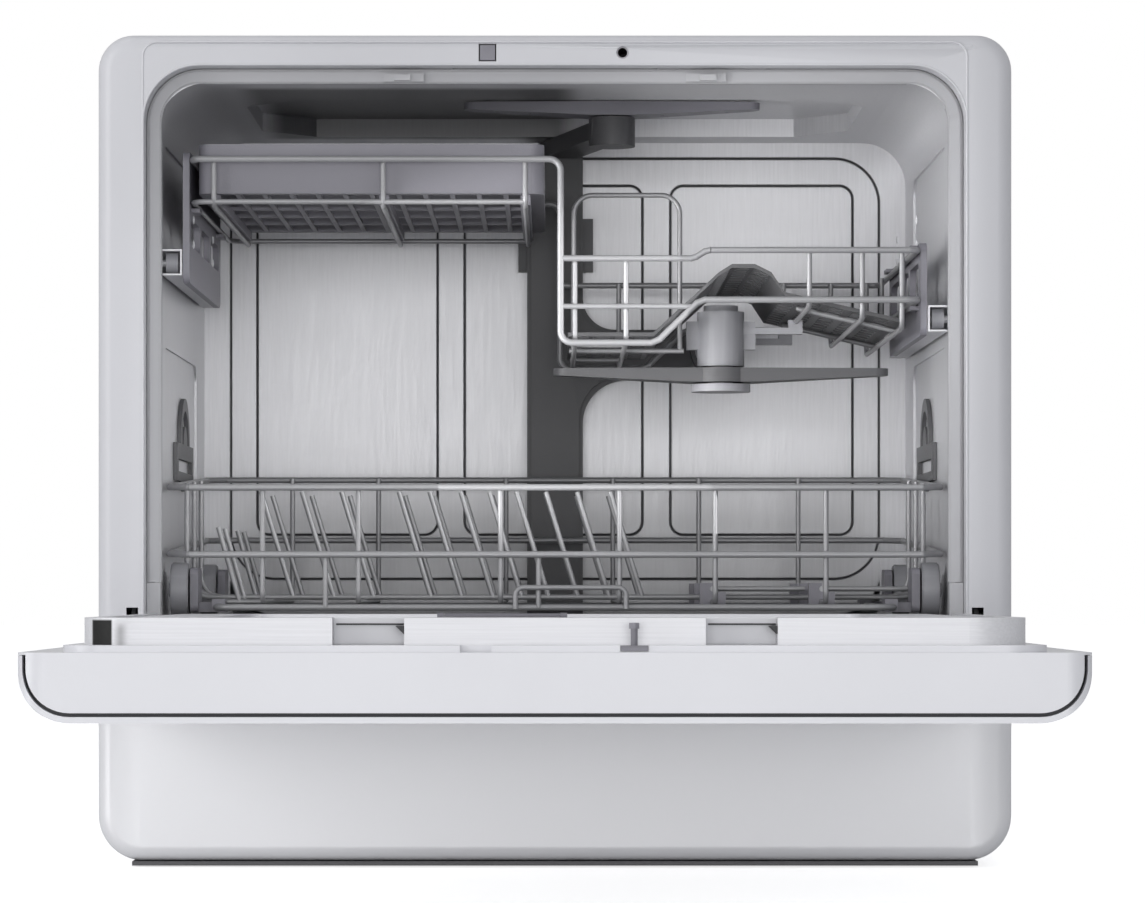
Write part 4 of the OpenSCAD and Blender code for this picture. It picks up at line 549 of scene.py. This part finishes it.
class DISHWASHER_OT_plastics(bpy.types.Operator):
    """Finish the moulded plastic parts"""
    bl_idname = "dishwasher.plastics"
    bl_label = "Plastic parts"

    def execute(self, context):
        c = context.scene.dishwasher_colours
        dark = skin_material("dark_plastic", tuple(c.dark), 0.42, grain_size=1400.0, grain_depth=0.5,
                             edge_wear=0.35)
        finish_nodes(["base_tray", "tub_base", "sump", "wash_pump", "drain_pump", "control_box", "latch_housing",
                      "water_column", "lower_arm_hub", "lower_spray_arm", "middle_spray_arm", "basket_floor_mesh",
                      "side_ports"], dark)
        grey = skin_material("grey_plastic", tuple(c.grey), 0.40, grain_size=1200.0, grain_depth=0.5,
                             edge_wear=0.3)
        finish_nodes(["feet", "filter_basket", "opener_rod", "strike_pin", "dispenser_body", "dispenser_lid",
                      "door_grip", "tine_clips", "wheel_carriers", "shelf_tray", "rack_brackets",
                      "top_spray_arm"], grey)
        pale = skin_material("pale_plastic", tuple(c.pale), 0.38, grain_size=1200.0, grain_depth=0.4,
                             edge_wear=0.25)
        corners = ("front_left", "front_right", "rear_left", "rear_right")
        finish_nodes(["inlet_valve", "float", "rinse_cap", "feed_tube"]
                     + [f"{kind}_{corner}" for kind in ("wheel", "roller") for corner in corners], pale)
        skin_material("light_plastic", tuple(c.white), 0.45, grain_size=1200.0, grain_depth=0.3, edge_wear=0.1)
        gloss = skin_material("smoked_window", SMOKED_BLACK, 0.06, grain_size=300.0, grain_depth=0.02,
                              edge_wear=0.1, coat=0.6)
        finish_nodes(["control_window", "power_inlet"], gloss)
        return {"FINISHED"}


class DISHWASHER_OT_seals(bpy.types.Operator):
    """Finish the rubber gasket, the bottom seal and the damping mat"""
    bl_idname = "dishwasher.seals"
    bl_label = "Seals"

    def execute(self, context):
        c = context.scene.dishwasher_colours
        seal = skin_material("seal_rubber", tuple(c.seal), 0.55, grain_size=2200.0, grain_depth=0.6, edge_wear=0.2)
        finish_nodes(["door_gasket", "bottom_seal"], seal)
        mat = skin_material("damping_mat", DAMPING_BLACK, 0.7, grain_size=1500.0, grain_depth=0.8, edge_wear=0.2)
        finish_nodes(["door_core"], mat)
        return {"FINISHED"}


class DISHWASHER_OT_wires(bpy.types.Operator):
    """Finish the coated wires of the racks"""
    bl_idname = "dishwasher.wires"
    bl_label = "Rack wires"

    def execute(self, context):
        c = context.scene.dishwasher_colours
        wire = skin_material("coated_wire", tuple(c.wire), 0.38, grain_size=500.0, grain_depth=0.4, edge_wear=0.3,
                             metallic=0.35, coat=0.1)
        finish_nodes(["lower_rack_frame", "folding_tines_left", "folding_tines_right", "upper_rack_frame"], wire)
        return {"FINISHED"}


# --- Fine parts ---

class DISHWASHER_OT_soft_front(bpy.types.Operator):
    """Give the front frame and the lower panel sides that curve back towards the casing"""
    bl_idname = "dishwasher.soft_front"
    bl_label = "Curved front sides"

    def execute(self, context):
        inner, outer, deep, steepness = 0.2475, 0.275, 0.0045, 1.7
        curved_skin = 0.0125
        slot_low, fade = 0.102, 0.02

        def curve_back(co):
            """Push a point of the front skin back, more so the nearer it is to the side."""
            u = min(max((abs(co.x) - inner) / (outer - inner), 0), 1)
            if u == 0 or co.y > FRONT + curved_skin:
                return co
            return Vector((co.x, co.y + deep * u ** steepness, co.z))

        def curve_below(co):
            """The same, but only below the hinge slots."""
            share = min(max((slot_low - co.z) / fade, 0), 1)
            return co.lerp(curve_back(co), share)

        steps = [inner + (outer - inner) * k / 12 for k in range(1, 11)]
        cuts = [((x, 0, 0), (1, 0, 0)) for x in steps + [-x for x in steps]]
        fades = [((0, 0, slot_low - fade * k), (0, 0, 1)) for k in (0, 0.5, 1)]
        reshaped("front_frame", "front_frame_skin", "frame_paint", "cabinet", cuts, curve_back)
        reshaped("lower_front_panel", "lower_panel_skin", "white_paint", "cabinet", cuts + fades,
                 curve_below)

        ridge_out, ridge_back, ridge_radius, turn, top = 0.6, 0.35, 0.75, 9, 495.2
        left_foot, *_, right_foot = mouth_path(-ridge_out, ridge_back)
        half = MOUTH_HALF / MM + ridge_out
        quarter = range(0, 91, 9)
        arch = [place(side * (half - turn + turn * math.sin(a)), ridge_back, top - turn + turn * math.cos(a))
                for side, degrees in ((-1, reversed(quarter)), (1, quarter)) for a in map(math.radians, degrees)]
        bent_tube("frame_ridge", [left_foot, *arch, right_foot], ridge_radius, "frame_paint", "cabinet")
        bead_out, bead_back, bead_radius = 0.7, 0.5, 0.8
        bent_tube("mouth_bead", mouth_path(-bead_out, bead_back), bead_radius, "frame_paint", "cabinet")
        return {"FINISHED"}


class DISHWASHER_OT_tub_fittings(bpy.types.Operator):
    """Set three studs and four slots into the tub's ceiling, behind the mouth"""
    bl_idname = "dishwasher.tub_fittings"
    bl_label = "Tub fittings"

    def execute(self, context):
        sheet, stud_back = 1.4, 26
        slot_half, slot_front, slot_back, slot_low, slot_high = 3.4, 24, 27, -0.6, 0.2
        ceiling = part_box("tub")[1].z / MM - sheet
        dome = [(4.6, 0), (4.6, 0.5), (3.9, 1.1), (1.8, 1.4)]
        studs = [turned("stud", place(x, stud_back, ceiling), (0, 0, -1), dome,
                        "pale_plastic", "cabinet", sides=24) for x in (-192, -96, 9)]
        joined(studs, "ceiling_studs")
        slots = [soft_block("slot", place(x - slot_half, slot_front, ceiling + slot_low),
                            place(x + slot_half, slot_back, ceiling + slot_high), 0.25,
                            "damping_mat", "cabinet", "dark_plastic") for x in (103.5, 112, 187.5, 196)]
        joined(slots, "ceiling_slots")
        return {"FINISHED"}


class DISHWASHER_OT_bracket_rivets(bpy.types.Operator):
    """Set four rivets into the inner face of each rack bracket"""
    bl_idname = "dishwasher.bracket_rivets"
    bl_label = "Bracket rivets"

    def execute(self, context):
        face, depths, heights = 221.6, (52, 190), (378, 393)
        dome = [(2.6, 0), (2.6, 0.3), (1.9, 0.7), (0.7, 0.9)]
        rivets = [turned("rivet", place(side * face, d, z), (-side, 0, 0), dome,
                         "light_plastic", "upper_rack", sides=20)
                  for side in (-1, 1) for d in depths for z in heights]
        joined(rivets, "bracket_rivets")
        return {"FINISHED"}


class DISHWASHER_OT_liner_pockets(bpy.types.Operator):
    """Line the two notches in the door liner's end, and set dark sheets in them as painted shadow"""
    bl_idname = "dishwasher.liner_pockets"
    bl_label = "Liner pockets"

    def execute(self, context):
        # In mm, as place takes them: a notch's own sizes, then the lip and the wedge in it, two dark sheets that
        # stand for painted shadow under the notch's top edge and on its right wall.
        width, play = 37, 0.3
        low, high, back, mouth = 138.5, 151.9, -329, -340.6
        shadow_strip_low, shadow_strip_high, shadow_strip_front, shadow_strip_back = 148.4, 149.3, back - 2, back - 0.9
        shadow_wedge_width, shadow_wedge_top = 4.5, 148
        slope = (9.5, 0, 4.2)
        light = ("light_plastic", "door", "light_plastic")
        # The finish of the painted shadow sheets: black, as the shade in a notch looks.
        dark = ("damping_mat", "door", "dark_plastic")
        for side, left in (("left", -114.5), ("right", 77.5)):
            right = left + width
            plate = soft_block("plate", place(left + play, back - 1, low), place(right - play, back, high), 0.3,
                               *light)
            # A dark strip: painted shadow under the notch's top edge.
            lip = soft_block("lip", place(left + 1.5, shadow_strip_front, shadow_strip_low), place(right - 0.5, shadow_strip_back, shadow_strip_high),
                             0.2, *dark)
            # A dark wedge: painted shadow on the notch's right wall.
            wedge = soft_block("wedge", place(right - shadow_wedge_width, mouth, low), place(right - play, back, shadow_wedge_top),
                               0.1, *dark)
            bpy.context.view_layer.objects.active = wedge
            wedge.select_set(True)
            bpy.ops.object.mode_set(mode="EDIT")
            bpy.ops.mesh.select_all(action="SELECT")
            bpy.ops.mesh.bisect(plane_co=place(right - shadow_wedge_width, mouth, shadow_wedge_top), plane_no=slope,
                                clear_inner=True, use_fill=True)
            bpy.ops.object.mode_set(mode="OBJECT")
            joined([plate, lip, wedge], f"pocket_{side}")
        return {"FINISHED"}


class DISHWASHER_OT_lock_ring(bpy.types.Operator):
    """Line the lock's hole with a grey ring"""
    bl_idname = "dishwasher.lock_ring"
    bl_label = "Lock ring"

    def execute(self, context):
        x, z, radius, back, bar = 40.5, 488.7, 3.25, 1.0, 0.42
        ring = [place(x + radius * math.cos(a), back, z + radius * math.sin(a))
                for a in map(math.radians, range(0, 360, 15))]
        bent_tube("lock_ring", ring, bar, "grey_plastic", "cabinet", closed=True)
        return {"FINISHED"}


# --- Camera and studio ---

# The lamp on the right and the low one in front, as shares of the side lights' and the front light's watts.
SHADED_SIDE = 0.04
LOW_FRONT = 0.12


def soft_light(name, at, aim, size, watts):
    """A rectangular lamp that points at a place."""
    bpy.ops.object.light_add(type="AREA", location=at)
    lamp = bpy.context.object
    lamp.name = name
    lamp.data.shape = "RECTANGLE"
    lamp.data.size, lamp.data.size_y = size
    lamp.data.energy = watts
    lamp.rotation_euler = (Vector(aim) - Vector(at)).to_track_quat("-Z", "Y").to_euler()
    return lamp


class DISHWASHER_OT_camera(bpy.types.Operator):
    """Set the camera straight in front, a little above the open door"""
    bl_idname = "dishwasher.camera"
    bl_label = "Camera"

    def execute(self, context):
        s = context.scene.dishwasher_studio
        picture_width, shift_right, shift_up = 1145, 17.5, 138.5
        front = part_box("casing")[0].y
        bpy.ops.object.camera_add(location=(0, front - s.distance, s.eye), rotation=(math.pi / 2, 0, 0))
        cam = context.object
        cam.name = "studio_camera"
        cam.data.lens = s.lens
        cam.data.sensor_width = 36
        cam.data.shift_x = shift_right / picture_width
        cam.data.shift_y = shift_up / picture_width
        cam.data.clip_end = 50
        context.scene.camera = cam
        return {"FINISHED"}


class DISHWASHER_OT_studio(bpy.types.Operator):
    """Lay a plain pale floor and hang the soft lights"""
    bl_idname = "dishwasher.studio"
    bl_label = "Floor and lights"

    def lay_floor(self, floor_tone):
        """A wide pale floor that looks evenly bright to the camera."""
        bpy.ops.mesh.primitive_plane_add(size=24, location=(0, 4, 0))
        floor = bpy.context.object
        floor.name = "studio_floor"
        bpy.ops.object.transform_apply(location=True)
        material, shader = blank_material("pale_floor", (0.9, 0.9, 0.9))
        shader.inputs["Base Color"].default_value = (0.86, 0.86, 0.86, 1)
        shader.inputs["Roughness"].default_value = 0.6
        shader.inputs["Specular IOR Level"].default_value = 0.1
        shader.inputs["Emission Color"].default_value = (1, 1, 1, 1)
        tree = material.node_tree
        seen = add_node(tree, "LightPath").outputs["Is Camera Ray"]
        glow = number_from(tree, "MULTIPLY", seen, floor_tone)
        tree.links.new(glow, shader.inputs["Emission Strength"])
        floor.data.materials.append(material)

    def hang_lights(self, s):
        """The large soft lights outside, and two small ones that light the tub's walls."""
        for lamp in (("key_above", (-0.3, -0.55, 2.2), (0, -0.3, 0.2), (2.4, 1.2), s.key),
                     ("side_left", (-2.0, -1.3, 0.7), (0, -0.2, 0.3), (1.0, 1.6), s.fill),
                     ("side_right", (2.0, -1.3, 0.7), (0, -0.2, 0.3), (1.0, 1.6), SHADED_SIDE * s.fill),
                     ("front_low", (0.0, -2.2, 0.06), (0, -0.2, 0.06), (1.6, 0.1), LOW_FRONT * s.front),
                     ("front", (0.0, -3.0, 0.42), (0, 0, 0.25), (2.4, 0.7), s.front)):
            soft_light(*lamp)
        for name, at, aim, watts in (("tub_right", (-0.05, -0.24, 0.30), (0.24, -0.02, 0.38), 0.22),
                                     ("tub_left", (0.05, -0.24, 0.30), (-0.24, -0.05, 0.26), 0.12)):
            lamp = soft_light(name, at, aim, (0.2, 0.2), watts)
            lamp.visible_camera = False
            lamp.data.spread = math.radians(70)

    def fill_room(self, context, s):
        """Dim light from all round, and a brighter room to the camera and in reflections."""
        world = bpy.data.worlds.new("studio_room")
        context.scene.world = world
        world.use_nodes = True
        tree = world.node_tree
        room = tree.nodes["Background"]
        room.inputs["Color"].default_value = (0.93, 0.95, 1.0, 1)
        room.inputs["Strength"].default_value = s.ambient
        path = add_node(tree, "LightPath").outputs
        level = number_from(tree, "MULTIPLY_ADD", path["Is Camera Ray"], 1 - s.mirrored, s.mirrored)
        seen = add_node(tree, "Background", {"Color": (1, 1, 1, 1), "Strength": level}).outputs["Background"]
        direct = number_from(tree, "MAXIMUM", path["Is Camera Ray"], path["Is Glossy Ray"])
        mix = add_node(tree, "MixShader", {"Fac": direct, 1: room.outputs["Background"], 2: seen})
        tree.links.new(mix.outputs["Shader"], tree.nodes["World Output"].inputs["Surface"])

    def execute(self, context):
        s = context.scene.dishwasher_studio
        self.lay_floor(s.floor_tone)
        self.hang_lights(s)
        self.fill_room(context, s)
        context.scene.view_settings.view_transform = "Standard"
        return {"FINISHED"}


class DISHWASHER_PT_panel(bpy.types.Panel):
    """Lists the dishwasher's colours and studio, and the steps that build its pieces"""
    bl_idname = "DISHWASHER_PT_panel"
    bl_label = "Dishwasher"
    bl_space_type = "VIEW_3D"
    bl_region_type = "UI"
    bl_category = "Dishwasher"

    def draw(self, context):
        column = self.layout.column()
        for settings in (context.scene.dishwasher_colours, context.scene.dishwasher_studio):
            for name in settings.__annotations__:
                column.prop(settings, name)
        for operator in STEPS:
            column.operator(operator.bl_idname)


SETTINGS = {"dishwasher_colours": DishwasherColours, "dishwasher_studio": DishwasherStudio}
STEPS = (DISHWASHER_OT_camera, DISHWASHER_OT_groups, DISHWASHER_OT_painted, DISHWASHER_OT_steel,
         DISHWASHER_OT_plastics, DISHWASHER_OT_seals, DISHWASHER_OT_wires, DISHWASHER_OT_soft_front,
         DISHWASHER_OT_tub_fittings, DISHWASHER_OT_bracket_rivets, DISHWASHER_OT_liner_pockets,
         DISHWASHER_OT_lock_ring, DISHWASHER_OT_studio)


def register():
    """Register the settings, the operators and the panel."""
    for name, settings in SETTINGS.items():
        bpy.utils.register_class(settings)
        setattr(bpy.types.Scene, name, bpy.props.PointerProperty(type=settings))
    for operator in STEPS:
        bpy.utils.register_class(operator)
    bpy.utils.register_class(DISHWASHER_PT_panel)


def unregister():
    """Take them all out again."""
    bpy.utils.unregister_class(DISHWASHER_PT_panel)
    for operator in reversed(STEPS):
        bpy.utils.unregister_class(operator)
    for name, settings in SETTINGS.items():
        delattr(bpy.types.Scene, name)
        bpy.utils.unregister_class(settings)


def main():
    """Build every step in order."""
    register()
    bpy.ops.object.select_all(action="DESELECT")
    for operator in STEPS:
        piece = operator.bl_idname.split(".")[1]
        getattr(bpy.ops.dishwasher, piece)()


if __name__ == "__main__":
    main()
